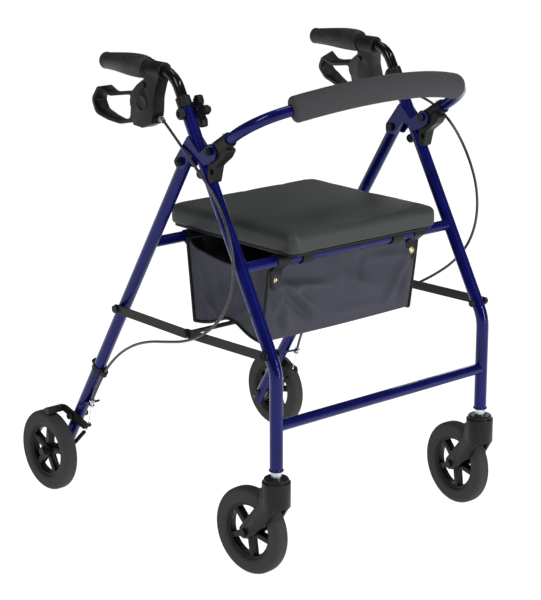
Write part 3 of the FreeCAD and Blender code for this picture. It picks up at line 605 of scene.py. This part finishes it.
def softened(node: str, width: float, finish: Finish) -> bpy.types.Object:
    """A copy of a CAD part with its edges rounded, which stands for it.

    Args:
        node: the CAD node.
        width: width of the rounding in metres.
        finish: its finish.

    Returns:
        The dressed copy.
    """
    source = frame["nodes"][node]
    piece = bpy.data.objects.new(node + "_soft", source.data.copy())
    bpy.context.collection.objects.link(piece)
    piece.data.materials.clear()
    grab(piece)
    bpy.ops.mesh.customdata_custom_splitnormals_clear()
    with editing(piece):
        bpy.ops.mesh.select_all(action="SELECT")
        bpy.ops.mesh.remove_doubles(threshold=0.00002)
        bpy.ops.mesh.dissolve_limited(angle_limit=math.radians(1.5))
    rounded(piece, width, 2, 40)
    smooth(piece)
    return settle(piece, BODY_OF[node], finish, node)


def ribbon(name: str, line: Sequence[Point], across: Vector, thickness: float) -> bpy.types.Object:
    """A flat band extruded along a line.

    Args:
        name: the piece's name.
        line: points of its middle line in metres.
        across: half of its width, as a vector.
        thickness: thickness in metres.

    Returns:
        The band, with its wall.
    """
    deselect()
    bpy.ops.mesh.primitive_plane_add(size=1.0)
    piece = fresh(name)
    start = Vector(line[0])
    with editing(piece, "VERT"):
        pick(piece, "VERT", lambda vert: vert.co.y > 0)
        bpy.ops.mesh.delete(type="VERT")
        mesh = bmesh.from_edit_mesh(piece.data)
        for vert, sign in zip(mesh.verts, (-1, 1)):
            vert.co = start + across * sign
            vert.select_set(True)
        bmesh.update_edit_mesh(piece.data)
        bpy.ops.mesh.select_all(action="SELECT")
        for before, after in zip(line, line[1:]):
            bpy.ops.mesh.extrude_region_move(TRANSFORM_OT_translate={"value": Vector(after) - Vector(before)})
    outward(piece)
    modify(piece, "SOLIDIFY", thickness=thickness, offset=0.0)
    return piece


def tube_along(name: str, points: Sequence[Vector], radius: float, smooth_line: bool = True) -> tuple:
    """A round tube along a smooth line through control points.

    Args:
        name: the piece's name.
        points: control points in metres.
        radius: radius of the tube.
        smooth_line: a NURBS line if true, straight runs if false.

    Returns:
        The mesh object and the list of points of its middle line.
    """
    curve = bpy.data.curves.new(name, "CURVE")
    curve.dimensions = "3D"
    spline = curve.splines.new("NURBS" if smooth_line else "POLY")
    spline.points.add(len(points) - 1)
    for control, point in zip(spline.points, points):
        control.co = (*point, 1.0)
    if smooth_line:
        spline.order_u = 3
        spline.use_endpoint_u = True
        spline.resolution_u = 10
    piece = bpy.data.objects.new(name, curve)
    bpy.context.collection.objects.link(piece)
    bare = bpy.data.meshes.new_from_object(piece.evaluated_get(bpy.context.evaluated_depsgraph_get()))
    line = [vert.co.copy() for vert in bare.vertices]
    bpy.data.meshes.remove(bare)
    curve.bevel_depth = radius
    curve.bevel_resolution = 4
    curve.use_fill_caps = True
    grab(piece)
    bpy.ops.object.convert(target="MESH")
    piece = bpy.context.active_object
    piece.name = piece.data.name = name
    smooth(piece, 50)
    return piece, line


# ---- studio -------------------------------------------------------------------------
@dataclass
class Studio:
    """Camera, soft lights and a plain pale floor."""

    eye: Point = (-2.1641, -2.5267, 1.2972)
    target: Point = (-0.0003, -0.0314, 0.3806)
    lens: float = 113.5
    sky: Colour = (0.94, 0.96, 1.0)
    sky_strength: float = 0.12
    floor_glow: float = 0.97

    def set_camera(self) -> None:
        """Aims the camera."""
        data = bpy.data.cameras.new("camera")
        data.lens = self.lens
        data.sensor_width = 36.0
        data.clip_end = 60.0
        camera = bpy.data.objects.new("camera", data)
        camera.location = self.eye
        camera.rotation_euler = (Vector(self.target) - Vector(self.eye)).to_track_quat("-Z", "Y").to_euler()
        bpy.context.collection.objects.link(camera)
        bpy.context.scene.camera = camera

    def add_light(self, name: str, place: Point, size: tuple[float, float], power: float) -> None:
        """Adds one area light that faces the object.

        Args:
            name: name of the light.
            place: where it hangs.
            size: width and height in metres.
            power: watts.
        """
        data = bpy.data.lights.new(name, "AREA")
        data.shape = "RECTANGLE"
        data.size, data.size_y = size
        data.energy = power
        light = bpy.data.objects.new(name, data)
        light.location = place
        light.rotation_euler = (Vector((0, 0, 0.4)) - Vector(place)).to_track_quat("-Z", "Y").to_euler()
        bpy.context.collection.objects.link(light)

    def build(self) -> None:
        """Sets up the whole studio."""
        self.set_camera()
        world = bpy.data.worlds.new("studio")
        world.use_nodes = True
        background = world.node_tree.nodes["Background"]
        background.inputs[0].default_value = (*self.sky, 1.0)
        background.inputs[1].default_value = self.sky_strength
        bpy.context.scene.world = world
        bpy.context.scene.view_settings.view_transform = "Standard"
        self.add_light("key", (-2.4, -0.6, 2.7), (0.8, 1.4), 30)
        self.add_light("strip", (0.9, -3.6, 1.3), (0.13, 2.2), 58)
        self.add_light("overhead", (0.6, -1.6, 3.0), (1.6, 0.16), 22)
        self.add_light("back", (2.6, 1.6, 1.8), (0.4, 1.8), 10)
        self.add_light("top", (0.2, 0.4, 3.6), (0.9, 1.3), 14)
        deselect()
        bpy.ops.mesh.primitive_plane_add(size=90.0, location=(0, 0, -0.0006))
        floor = fresh("floor")
        graph = Graph("floor_paper")
        paper = graph.ramp(graph.noise(3, 2), (0.2, (0.29, 0.29, 0.29)), (0.8, (0.31, 0.31, 0.31)))
        graph.surface(Base_Color=paper, Roughness=0.85, Emission_Color=(1, 1, 1, 1),
                      Emission_Strength=self.floor_glow)
        floor.data.materials.append(graph.material)


# ---- brake cables -------------------------------------------------------------------
@dataclass
class BrakeCable:
    """One brake cable: its sheath in two lengths, and its bare wire."""

    side: Side
    route: list[Point]
    split: int
    radius: float = 2.5 * MM
    wire_radius: float = 0.75 * MM
    peg: Point = (8, 208.5, 140.0)
    clip: Point = (0, 168, 250)

    def build(self) -> None:
        """Makes the sheath in two lengths and the wire."""
        points = [self.side.at(*place) for place in self.route]
        meeting = (points[self.split - 1] + points[self.split]) / 2
        word, nodes = self.side.word, f"brake_cable_{self.side.word}"
        runs = {
            "upper": (points[:self.split] + [meeting], f"handle_{word}", "front_frame", points[0], meeting),
            "lower": ([meeting] + points[self.split:], "front_frame", "rear_frame", meeting,
                      self.side.at(*self.clip)),
        }
        for part, (controls, first, second, start, end) in runs.items():
            piece, line = tube_along(f"cable_{part}_{word}", controls, self.radius)
            piece.data.materials.append(SHEATH.material())
            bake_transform(piece)
            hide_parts(nodes)
        self.build_wire(points[-1], self.side.at(*self.peg), word)

    def build_wire(self, start: Vector, end: Vector, word: str) -> None:
        """The bare wire from the adjuster to the arm, with its crimped end.

        Args:
            start: mouth of the adjuster.
            end: peg on the arm.
            word: name of the side.
        """
        along = (end - start).normalized()
        wire = lofted(f"brake_wire_{word}",
                      [(start + along * 0.0002, self.wire_radius), (end - along * 0.006, self.wire_radius),
                                             (end - along * 0.006, 0.0016), (end - along * 0.0038, 0.0016)],
                                             10)
        smooth(wire)
        wire.data.materials.append(ZINC.material())
        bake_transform(wire)


# ---- wheels -------------------------------------------------------------------------
@dataclass
class Wheel:
    """A solid tyre on a five-spoke rim, modelled once about the X axis and copied."""

    radius: float = 76.0 * MM
    width: float = 26.0 * MM
    rim_radius: float = 49.1 * MM
    rim_inner: float = 44.0 * MM
    rim_width: float = 15.0 * MM
    hub_length: float = 28.2 * MM
    bore: float = 4.2 * MM
    spokes: int = 5

    def tyre(self) -> bpy.types.Object:
        """Tyre with round shoulders and flanks that roll in to the rim."""
        piece = ring("tyre", self.radius, self.rim_radius, self.width, 96)
        with editing(piece):
            pick(piece, "EDGE", lambda edge: from_axis(middle(edge)) > self.radius * 0.97
                 and abs(edge.verts[0].co.x - edge.verts[1].co.x) < 1e-5)
            bpy.ops.mesh.bevel(offset=8.5 * MM, segments=8)
            pick(piece, "EDGE", lambda edge: from_axis(middle(edge)) < self.rim_radius * 1.01
                 and abs(edge.verts[0].co.x - edge.verts[1].co.x) < 1e-5)
            bpy.ops.mesh.bevel(offset=6.5 * MM, segments=7)
        smooth(piece, 40)
        piece.data.materials.append(TYRE_RUBBER.material())
        return piece

    def spoke(self) -> bpy.types.Object:
        """Tapered spoke with a ridge along the middle of each face."""
        deselect()
        low, high = 10.0 * MM, self.rim_inner + 2.0 * MM
        bpy.ops.mesh.primitive_cube_add(size=1.0, location=(0, 0, (low + high) / 2),
                                        scale=(12.5 * MM, 11.5 * MM, high - low))
        piece = fresh("spoke")
        with editing(piece):
            pick(piece, "FACE", lambda face: face.normal.z > 0.9)
            bpy.ops.transform.resize(value=(1.08, 0.85, 1), center_override=(0, 0, high))
            pick(piece, "FACE", lambda face: abs(face.normal.y) > 0.8)
            bpy.ops.mesh.inset(thickness=2.2 * MM)
            bpy.ops.transform.resize(value=(1, 0.45, 1), center_override=(0, 0, 0))
        rounded(piece, 0.6 * MM, 2, 30)
        return piece

    def rim(self) -> bpy.types.Object:
        """Rim ring that rolls into the wheel's opening, spokes and a stepped hub."""
        band = ring("rim_band", self.rim_radius, self.rim_inner, self.rim_width, 96)
        with editing(band):
            pick(band, "EDGE", lambda edge: from_axis(middle(edge)) < self.rim_inner * 1.01
                 and abs(edge.verts[0].co.x - edge.verts[1].co.x) < 1e-5)
            bpy.ops.mesh.bevel(offset=2.0 * MM, segments=4)
        half = self.hub_length / 2
        steps = [(-half, self.bore), (-half, 8.5 * MM), (-half + 1.2 * MM, 9.4 * MM),
                 (-half + 3 * MM, 9.6 * MM),
                 (-half + 3 * MM, 12.4 * MM), (-half + 4.2 * MM, 13.2 * MM), (0, 13.4 * MM)]
        mirrored = [(-x, radius) for x, radius in reversed(steps[:-1])]
        hub = lofted("hub", [((x, 0, 0), radius) for x, radius in steps + mirrored], 40)
        spoke = self.spoke()
        pieces = [band, hub, spoke]
        for step in range(1, self.spokes):
            pieces.append(copied(spoke, "spoke_copy", Matrix.Rotation(step * math.tau / self.spokes, 4, "X")))
        piece = joined("rim", pieces)
        smooth(piece, 35)
        piece.data.materials.clear()
        piece.data.materials.append(RIM_PLASTIC.material())
        return piece

    def build(self) -> None:
        """Copies the wheel to its four axles."""
        tyre, rim = self.tyre(), self.rim()
        for side in Side:
            yaw = Matrix.Rotation(math.radians(-5.0 * side.value), 4, "Z")
            swivel = side.at(0, -310.4, 0)
            trail = side.at(0, -253.4, 76) - swivel
            places = {
                "rear": (Matrix.Translation(side.at(37.2, 294.4, 76)), 7.0),
                "front": (Matrix.Translation(swivel) @ yaw @ Matrix.Translation(trail), 28.0),
            }
            for end, (matrix, turn) in places.items():
                matrix = matrix @ Matrix.Rotation(math.radians(turn), 4, "X")
                body = f"{end}_wheel_{side.word}"
                for source, finish in ((tyre, TYRE_RUBBER), (rim, RIM_PLASTIC)):
                    name = f"{end}_{source.name}_{side.word}"
                    settle(copied(source, name + "_look", matrix), body, finish, name)
        for source in (tyre, rim):
            bpy.data.objects.remove(source, do_unlink=True)


# ---- grips --------------------------------------------------------------------------
@dataclass
class Grip:
    """Palm grip: a lofted rubber sleeve with a front ring, finger waves and an end lip."""

    axis_z: float = 822.4
    stations: list[tuple[float, ...]] = field(default_factory=lambda: [
        (16.1, 2, 1, 14, 14.5), (16.4, 2, 1, 16.4, 17), (18, 3, 1.8, 18.4, 18.8),
        (20.5, 3.4, 2.1, 18.9, 19.2),
        (21.6, 3.4, 2.1, 18.2, 18.5), (23.5, 3.8, 2.4, 19.4, 19.6), (30, 4, 2.5, 20.2, 20.2),
        (45, 4, 2.5, 20.3, 20.2),
        (60, 4, 2.5, 19.9, 19.8), (74, 3.2, 2.4, 19, 18.7), (88, 2.4, 2.2, 17.9, 17.5),
        (101, 1.5, 1.9, 16.8, 16.4),
        (114, 0.8, 1.3, 15.8, 15.6), (124, 0.3, 0.8, 15, 15), (130, 0, 0.5, 14.3, 14.3),
        (132, 0, 0.5, 14.1, 14.1),
        (133, 0, 0.5, 14.9, 14.9), (137, 0, 0.5, 15, 15), (139, 0, 0.5, 14, 14), (139.9, 0, 0.5, 11.5, 11.5),
        (138.8, 0, 0.5, 10.4, 10.4), (138.8, 0, 0.5, 3, 3),
    ])

    def build(self) -> None:
        """Makes both grips."""
        for side in Side:
            stations = [(side.at(out, y, self.axis_z + up), across * MM, upright * MM)
                        for y, out, up, across, upright in self.stations]
            piece = lofted(f"grip_sleeve_{side.word}", stations, 40)
            modify(piece, "SUBSURF", levels=1, render_levels=1)
            smooth(piece, 40)
            settle(piece, f"handle_{side.word}", GRIP_RUBBER, f"grip_{side.word}")


# ---- backrest -----------------------------------------------------------------------
@dataclass
class BackrestPad:
    """Foam sleeve on the broad curve of the backrest tube."""

    pivot: Point = (0, -159.7, 707.9)
    tilt: float = 31.8
    reach: float = 183.0
    arc_radius: float = 449.03
    half_width: float = 186.0
    radius: float = 22.0

    def in_plane(self, x: float, v: float) -> Vector:
        """A place in the backrest's plane, x across and v out from the pivot, in metres."""
        tilt = math.radians(self.tilt)
        return world((x, self.pivot[1] - v * math.cos(tilt), self.pivot[2] + v * math.sin(tilt)))

    def build(self) -> None:
        """Spins a round about the centre of the curve and rounds its ends."""
        tilt = math.radians(self.tilt)
        normal = Vector((0, math.sin(tilt), math.cos(tilt)))
        centre = self.in_plane(0, self.reach - self.arc_radius)
        half_angle = math.asin(self.half_width / self.arc_radius)
        start = self.in_plane(-self.half_width, self.reach - self.arc_radius * (1 - math.cos(half_angle)))
        tangent = normal.cross(start - centre).normalized()
        deselect()
        bpy.ops.mesh.primitive_circle_add(vertices=40, radius=self.radius * MM, location=start,
                                          fill_type="NGON",
                                          rotation=Vector((0, 0, 1)).rotation_difference(tangent).to_euler())
        piece = fresh("backrest_sleeve")
        direction = 1.0 if (Matrix.Rotation(0.1, 3, normal) @ (start - centre)).x > start.x else -1.0
        with editing(piece):
            bpy.ops.mesh.select_all(action="SELECT")
            bpy.ops.mesh.spin(steps=56, angle=-2 * half_angle * direction, center=centre, axis=normal)
        if max(vert.co.x for vert in piece.data.vertices) < 0.1:
            log.warning("backrest sleeve was spun the wrong way")
        outward(piece)
        rounded(piece, 9 * MM, 5, 60)
        smooth(piece, 40)
        settle(piece, "backrest", PAD_FOAM, "backrest_pad")


# ---- seat ---------------------------------------------------------------------------
@dataclass
class Seat:
    """Upholstered seat pad, swollen a little by a cloth simulation."""

    half_width: float = 174.5
    front: float = -269.4
    rear: float = 68.1
    top: float = 572.0
    base: float = 537.6
    corner: float = 19.0
    swell: float = 3.5
    shrink: float = 0.5

    def blank(self) -> bpy.types.Object:
        """A slab a little under size, with rounded corners and rolled edges."""
        deselect()
        size = Vector((2 * (self.half_width - self.shrink), self.rear - self.front - 2 * self.shrink,
                       self.top - self.base - 1.0)) * MM
        middle_place = world((0, (self.front + self.rear) / 2, (self.top + self.base) / 2 - 0.5))
        bpy.ops.mesh.primitive_cube_add(size=1.0, location=middle_place, scale=size)
        piece = fresh("seat_cushion")
        with editing(piece):
            pick(piece, "EDGE", lambda edge: abs(edge.verts[0].co.z - edge.verts[1].co.z) > 0.01)
            bpy.ops.mesh.bevel(offset=self.corner * MM, segments=9)
            pick(piece, "FACE", lambda face: face.normal.z > 0.9)
            bpy.ops.mesh.region_to_loop()
            bpy.ops.mesh.bevel(offset=10 * MM, segments=6)
            pick(piece, "FACE", lambda face: face.normal.z < -0.9)
            bpy.ops.mesh.region_to_loop()
            bpy.ops.mesh.bevel(offset=4.0 * MM, segments=3)
        return piece

    def swell_with_cloth(self, piece: bpy.types.Object) -> None:
        """Inflates the blank as cloth and limits how far each point moves.

        Args:
            piece: the blank, which takes the swollen shape.
        """
        modify(piece, "REMESH", mode="VOXEL", voxel_size=5 * MM, use_smooth_shade=True)
        rest = [vert.co.copy() for vert in piece.data.vertices]
        grab(piece)
        cloth = piece.modifiers.new("cloth", "CLOTH")
        cloth.settings.use_pressure = True
        cloth.settings.uniform_pressure_force = 4.0
        cloth.settings.effector_weights.gravity = 0.0
        cloth.point_cache.frame_end = 20
        for step in range(1, 21):
            bpy.context.scene.frame_set(step)
        bpy.ops.object.modifier_apply(modifier="cloth")
        bpy.context.scene.frame_set(1)
        for vert, before in zip(piece.data.vertices, rest):
            move = vert.co - before
            if move.length > self.swell * MM:
                vert.co = before + move.normalized() * self.swell * MM
            vert.co.z = min(max(vert.co.z, self.base * MM), (self.top + 2.5) * MM)
        modify(piece, "SUBSURF", levels=1, render_levels=1)

    def build(self) -> None:
        """Makes the cushion."""
        piece = self.blank()
        self.swell_with_cloth(piece)
        smooth(piece, 60)
        settle(piece, "seat", SEAT_VINYL, "seat_pad")


# ---- bag ----------------------------------------------------------------------------
@dataclass(frozen=True)
class Fold:
    """One crease: it runs from one place to another on a panel and lifts the cloth beside it."""

    start: tuple[float, float]
    end: tuple[float, float]
    width: float
    lift: float

    def height(self, u: float, w: float) -> float:
        """How far the cloth stands out at a place on the panel, in mm.

        Args:
            u: place across the panel.
            w: place up the panel.

        Returns:
            The lift, which fades along and beside the crease.
        """
        du, dw = self.end[0] - self.start[0], self.end[1] - self.start[1]
        length = math.hypot(du, dw)
        share = ((u - self.start[0]) * du + (w - self.start[1]) * dw) / length ** 2
        beside = ((u - self.start[0]) * dw - (w - self.start[1]) * du) / length
        if not -0.15 < share < 1.15:
            return 0.0
        fade = math.sin(math.pi * min(max((share + 0.15) / 1.3, 0.0), 1.0))
        bend = beside / self.width
        return self.lift * fade * (1 - 0.5 * bend * bend) * math.exp(-bend * bend)


@dataclass
class StorageBag:
    """Nylon bag open at the top, bound at its edges and hung by straps from the seat bars."""

    half_width: float = 175.0
    front: tuple[float, float] = (-211.0, -192.5)
    rear: tuple[float, float] = (5.0, -13.0)
    rim: float = 508.0
    base: float = 374.0
    rod: tuple[float, float] = (-100.0, 395.0)
    cuts: int = 46
    bar_front: tuple[float, float] = (-222.66, 521.0)
    bar_rear: tuple[float, float] = (16.65, 521.0)
    front_folds: list[Fold] = field(default_factory=lambda: [
        Fold((-158, 486), (-120, 398), 8, 5.5), Fold((-156, 486), (-60, 412), 9, 6.0),
        Fold((-160, 480), (-148, 392), 6, 4.0),
        Fold((-152, 480), (-134, 440), 4, -4.0), Fold((-150, 474), (-40, 456), 11, 4.5),
        Fold((-168, 450), (-128, 384), 5, -4.0),
        Fold((-120, 450), (-70, 400), 12, -4.0), Fold((158, 486), (112, 400), 12, 5.0),
        Fold((150, 478), (60, 488), 10, 2.2),
        Fold((168, 470), (160, 400), 8, 3.5), Fold((140, 470), (146, 390), 10, -3.0),
        Fold((-30, 500), (-10, 440), 14, 2.2),
        Fold((40, 500), (30, 450), 9, -2.4), Fold((-60, 400), (120, 396), 12, 2.0),
        Fold((-10, 470), (90, 420), 18, 3.6),
    ])
    side_folds: list[Fold] = field(default_factory=lambda: [
        Fold((-190, 490), (-150, 400), 10, 4.0), Fold((-20, 490), (-44, 400), 9, 5.0),
        Fold((-30, 470), (-40, 380), 5, -4.0),
        Fold((-140, 470), (-60, 440), 14, -3.0), Fold((-176, 440), (-110, 398), 8, 3.0),
        Fold((-60, 480), (-70, 410), 9, 3.0),
        Fold((-15, 440), (-70, 392), 7, 3.5), Fold((-120, 500), (-110, 430), 10, 3.0),
    ])

    def shaped(self, place: Vector) -> Vector:
        """Where a point of the plain box goes on the hanging bag.

        Args:
            place: point with x in mm, y from 0 at the front to 1 at the rear and z from 0 at the base to 1 at the rim.

        Returns:
            The place in mm.
        """
        x, depth, up = place
        front = self.front[1] + (self.front[0] - self.front[1]) * up
        rear = self.rear[1] + (self.rear[0] - self.rear[1]) * up
        y = front + (rear - front) * depth
        on_rod = math.exp(-((y - self.rod[0]) / 42.0) ** 2)
        floor = self.base + (self.rod[1] - self.base) * on_rod - 2.0 * math.sin(math.pi * (x / self.half_width + 1) / 2)
        edge = abs(x) / self.half_width
        sag = 15.0 * math.sin(math.pi * depth) ** 1.5 * max(0.0, edge - 0.9) / 0.1
        rim = self.rim + (13.0 * max(0.0, depth - 0.9) / 0.1)
        z = floor + (rim - sag - floor) * up
        if edge > 0.999:
            pull = math.sin(math.pi * depth) ** 0.7 * (0.55 + 0.45 * math.sin(math.pi * up))
            bow = 1.6 * sum(fold.height(y, z) for fold in self.side_folds)
            x -= math.copysign(15.0 * pull - bow * min(1.0, 6 * depth, 6 * (1 - depth)), x)
        elif edge > 0.5:
            x -= math.copysign((edge - 0.5) * 2 * 10.0 * math.sin(math.pi * depth) ** 0.7 * (1 - up) * 0.6, x)
        calm = min(1.0, 5 * (1 - edge) + 0.15) * min(1.0, 8 * (1 - up) + 0.1)
        if depth < 0.001:
            y -= calm * (2.7 * sum(fold.height(x, z) for fold in self.front_folds)
                         + 3.0 * math.sin(math.pi * up))
        elif depth > 0.999:
            y += calm * (sum(fold.height(-x, z) for fold in self.front_folds) * 1.2)
        return Vector((x, y, z))

    def shell(self) -> bpy.types.Object:
        """The cloth of the bag."""
        deselect()
        bpy.ops.mesh.primitive_cube_add(size=1.0, location=(0, 0.5, 0.5), scale=(2 * self.half_width, 1, 1))
        piece = fresh("bag_shell")
        with editing(piece):
            pick(piece, "FACE", lambda face: face.normal.z > 0.9)
            bpy.ops.mesh.delete(type="FACE")
            bpy.ops.mesh.select_all(action="SELECT")
            bpy.ops.mesh.subdivide(number_cuts=self.cuts)
        for vert in piece.data.vertices:
            vert.co = world(self.shaped(vert.co))
        outward(piece)
        modify(piece, "SOLIDIFY", thickness=1.1 * MM, offset=-1.0)
        modify(piece, "SUBSURF", levels=1, render_levels=1)
        smooth(piece, 70)
        return piece

    def binding(self, name: str, places: list[Vector], radius: float) -> bpy.types.Object:
        """Tape sewn over an edge of the cloth, as a round bead along it."""
        piece, _ = tube_along(name, [world(self.shaped(place)) for place in places], radius, False)
        return piece

    def edges(self) -> dict[str, list[Vector]]:
        """The bound edges, as points on the plain box."""
        steps = [step / 30 for step in range(31)]
        found = {}
        for side, x in (("left", self.half_width), ("right", -self.half_width)):
            found[f"front_{side}"] = [Vector((x, 0, up)) for up in steps]
            found[f"rear_{side}"] = [Vector((x, 1, up)) for up in steps]
            found[f"base_{side}"] = [Vector((x, depth, 0)) for depth in steps]
            found[f"rim_{side}"] = [Vector((x, depth, 1)) for depth in steps]
        return found

    def strap(self, name: str, x: float, bar: tuple[float, float], face: float) -> None:
        """A strap round a seat bar, with its snap on the outer face of the bag.

        Args:
            name: name of the strap.
            x: place along the bar.
            bar: centre of the bar.
            face: y of the bag's outer face at the snap.
        """
        outward_sign = -1 if face < -100 else 1
        line = [(x, face + outward_sign * 2.6, level) for level in (468, 473, 479, 491, 501)]
        radius = 10.9
        for step in range(9):
            angle = math.radians(200 - 25 * step)
            line.append((x, bar[0] - outward_sign * radius * math.cos(angle),
                         bar[1] + radius * math.sin(angle)))
        line.append((x, face - outward_sign * 5.0, 496))
        piece = ribbon(name, [world(point) for point in line], Vector((14.0 * MM, 0, 0)), 1.3 * MM)
        with editing(piece):
            for level, share in ((0.4685, 0.45), (0.4735, 0.72), (0.4785, 0.8), (0.4905, 0.84)):
                pick(piece, "VERT", lambda vert: abs(vert.co.z - level) < 0.003
                     and vert.co.y * outward_sign > ((face - BOX_CENTRE_Y) * outward_sign + 0.9) * MM)
                bpy.ops.transform.resize(value=(share, 1, 1), center_override=(x * MM, 0, 0))
        rounded(piece, 0.4 * MM)
        smooth(piece, 50)
        body = "front_frame" if outward_sign < 0 else "rear_frame"
        settle(piece, body, BINDING)
        centre = world((x, face + outward_sign * 3.0, 485))
        direction = Vector((0, outward_sign * MM, 0))
        snap = lofted(name + "_snap", [(centre, 6.2 * MM), (centre + direction * 0.8, 6.4 * MM),
                                       (centre + direction * 1.4, 5.8 * MM),
                                       (centre + direction * 1.5, 4.4 * MM),
                                       (centre + direction * 2.6, 3.6 * MM),
                                       (centre + direction * 3.1, 2.0 * MM)], 28)
        smooth(snap, 50)
        settle(snap, body, BRASS)

    def build(self) -> None:
        """Makes the cloth, its bindings, straps and snaps."""
        shell = self.shell()
        shell.data.materials.append(BAG_NYLON.material())
        tapes = [self.binding(f"bag_tape_{name}", places, 2.0 * MM if "rim" in name else 2.8 * MM) for name,
                 places in self.edges().items()]
        tape = joined("bag_binding", tapes)
        tape.data.materials.clear()
        tape.data.materials.append(BINDING.material())
        for piece in (shell, tape):
            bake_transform(piece)
        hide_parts("storage_bag")
        for name, x in (("strap_right", -158.0), ("strap_left", 160.0)):
            self.strap(name, x, self.bar_front, -208.5)
            self.strap(name + "_rear", x, self.bar_rear, -1.0)


# ---- springs ------------------------------------------------------------------------
@dataclass
class ReturnSpring:
    """Coil spring between the brake arm and the foot of the rear leg."""

    arm_end: Point = (8, 213, 132)
    leg_end: Point = (8, 263, 85)
    coil_radius: float = 3.2
    wire: float = 0.75
    turns: int = 22

    def build(self) -> None:
        """Makes both springs: a coil from a Screw modifier, with straight tails."""
        for side in Side:
            top, low = side.at(*self.arm_end), side.at(*self.leg_end)
            along = (low - top).normalized()
            length = (low - top).length
            coil_length = length * 0.62
            deselect()
            bpy.ops.mesh.primitive_circle_add(vertices=8, radius=self.wire * MM,
                                              location=(self.coil_radius * MM, 0, 0),
                                              rotation=(math.pi / 2, 0, 0))
            coil = fresh(f"brake_spring_{side.word}")
            modify(coil, "SCREW", screw_offset=coil_length / self.turns, iterations=self.turns, steps=16,
                   render_steps=16)
            outward(coil)
            turn = Vector((0, 0, 1)).rotation_difference(along).to_matrix().to_4x4()
            coil.data.transform(Matrix.Translation(top + along * length * 0.19) @ turn)
            tails = [lofted("tail", [(a, 0.7 * MM), (b, 0.7 * MM)], 8) for a, b in
                     ((top, top + along * length * 0.2), (low - along * length * 0.2, low))]
            piece = joined(coil.name, [coil, *tails])
            smooth(piece, 50)
            piece.data.materials.append(STEEL_BLACK.material())
            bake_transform(piece)
            if side is Side.LEFT:
                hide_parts("brake_springs")


# ---- the rest -----------------------------------------------------------------------
@dataclass
class Hardware:
    """The frame's own parts: moulded ones get rounded edges, the others only their finish."""

    moulded: dict[str, float] = field(default_factory=lambda: {
        "brake_housing": 1.0, "brake_lever": 1.6, "star_knob": 1.4, "caster_fork": 1.4,
    })

    def dress_cad(self) -> None:
        """Gives every CAD node the finish of its material slot."""
        for part in frame["record"]["subparts"]:
            node = frame["nodes"][part["node"]]
            node.data.materials.clear()
            node.data.materials.append(FINISHES[part["material_slot"]].material())

    def build(self) -> None:
        """Dresses the CAD nodes and rounds the moulded parts."""
        self.dress_cad()
        for part, width in self.moulded.items():
            for side in Side:
                softened(f"{part}_{side.word}", width * MM, PLASTIC)


RIGHT_ROUTE: list[Point] = [
    (0, -24, 737), (16, -80, 715), (21, -128, 682), (22, -178, 645), (22, -213, 596), (21, -230, 541),
    (21, -226, 486),
    (23, -201, 437), (25, -158, 400), (25, -105, 375), (21, -48, 361), (14, 8, 348), (7, 64, 328),
    (2, 118, 297),
    (0, 168, 250), (8, 193, 194),
]
LEFT_ROUTE: list[Point] = [
    (29.21, -24, 742.15), (27, -68, 739), (23, -116, 739), (21, -164, 726), (22, -208, 694),
    (22, -243, 648), (24, -265, 594),
    (24, -268, 538), (22, -252, 487), (22, -214, 445), (24, -165, 411), (24, -112, 381), (20, -56, 356),
    (14, 2, 336),
    (7, 60, 318), (2, 116, 292), (0, 168, 250), (8, 193, 194),
]


def main() -> None:
    """Builds the studio and the pieces."""
    logging.basicConfig(level=logging.INFO, format="%(name)s: %(message)s")
    assemblies = [
        Studio(), BrakeCable(Side.RIGHT, RIGHT_ROUTE, 6), BrakeCable(Side.LEFT, LEFT_ROUTE, 8), Hardware(),
        Wheel(),
        Grip(), BackrestPad(), Seat(), StorageBag(), ReturnSpring(),
    ]
    for assembly in assemblies:
        assembly.build()
        log.info("%s built", type(assembly).__name__)


if __name__ == "__main__":
    main()
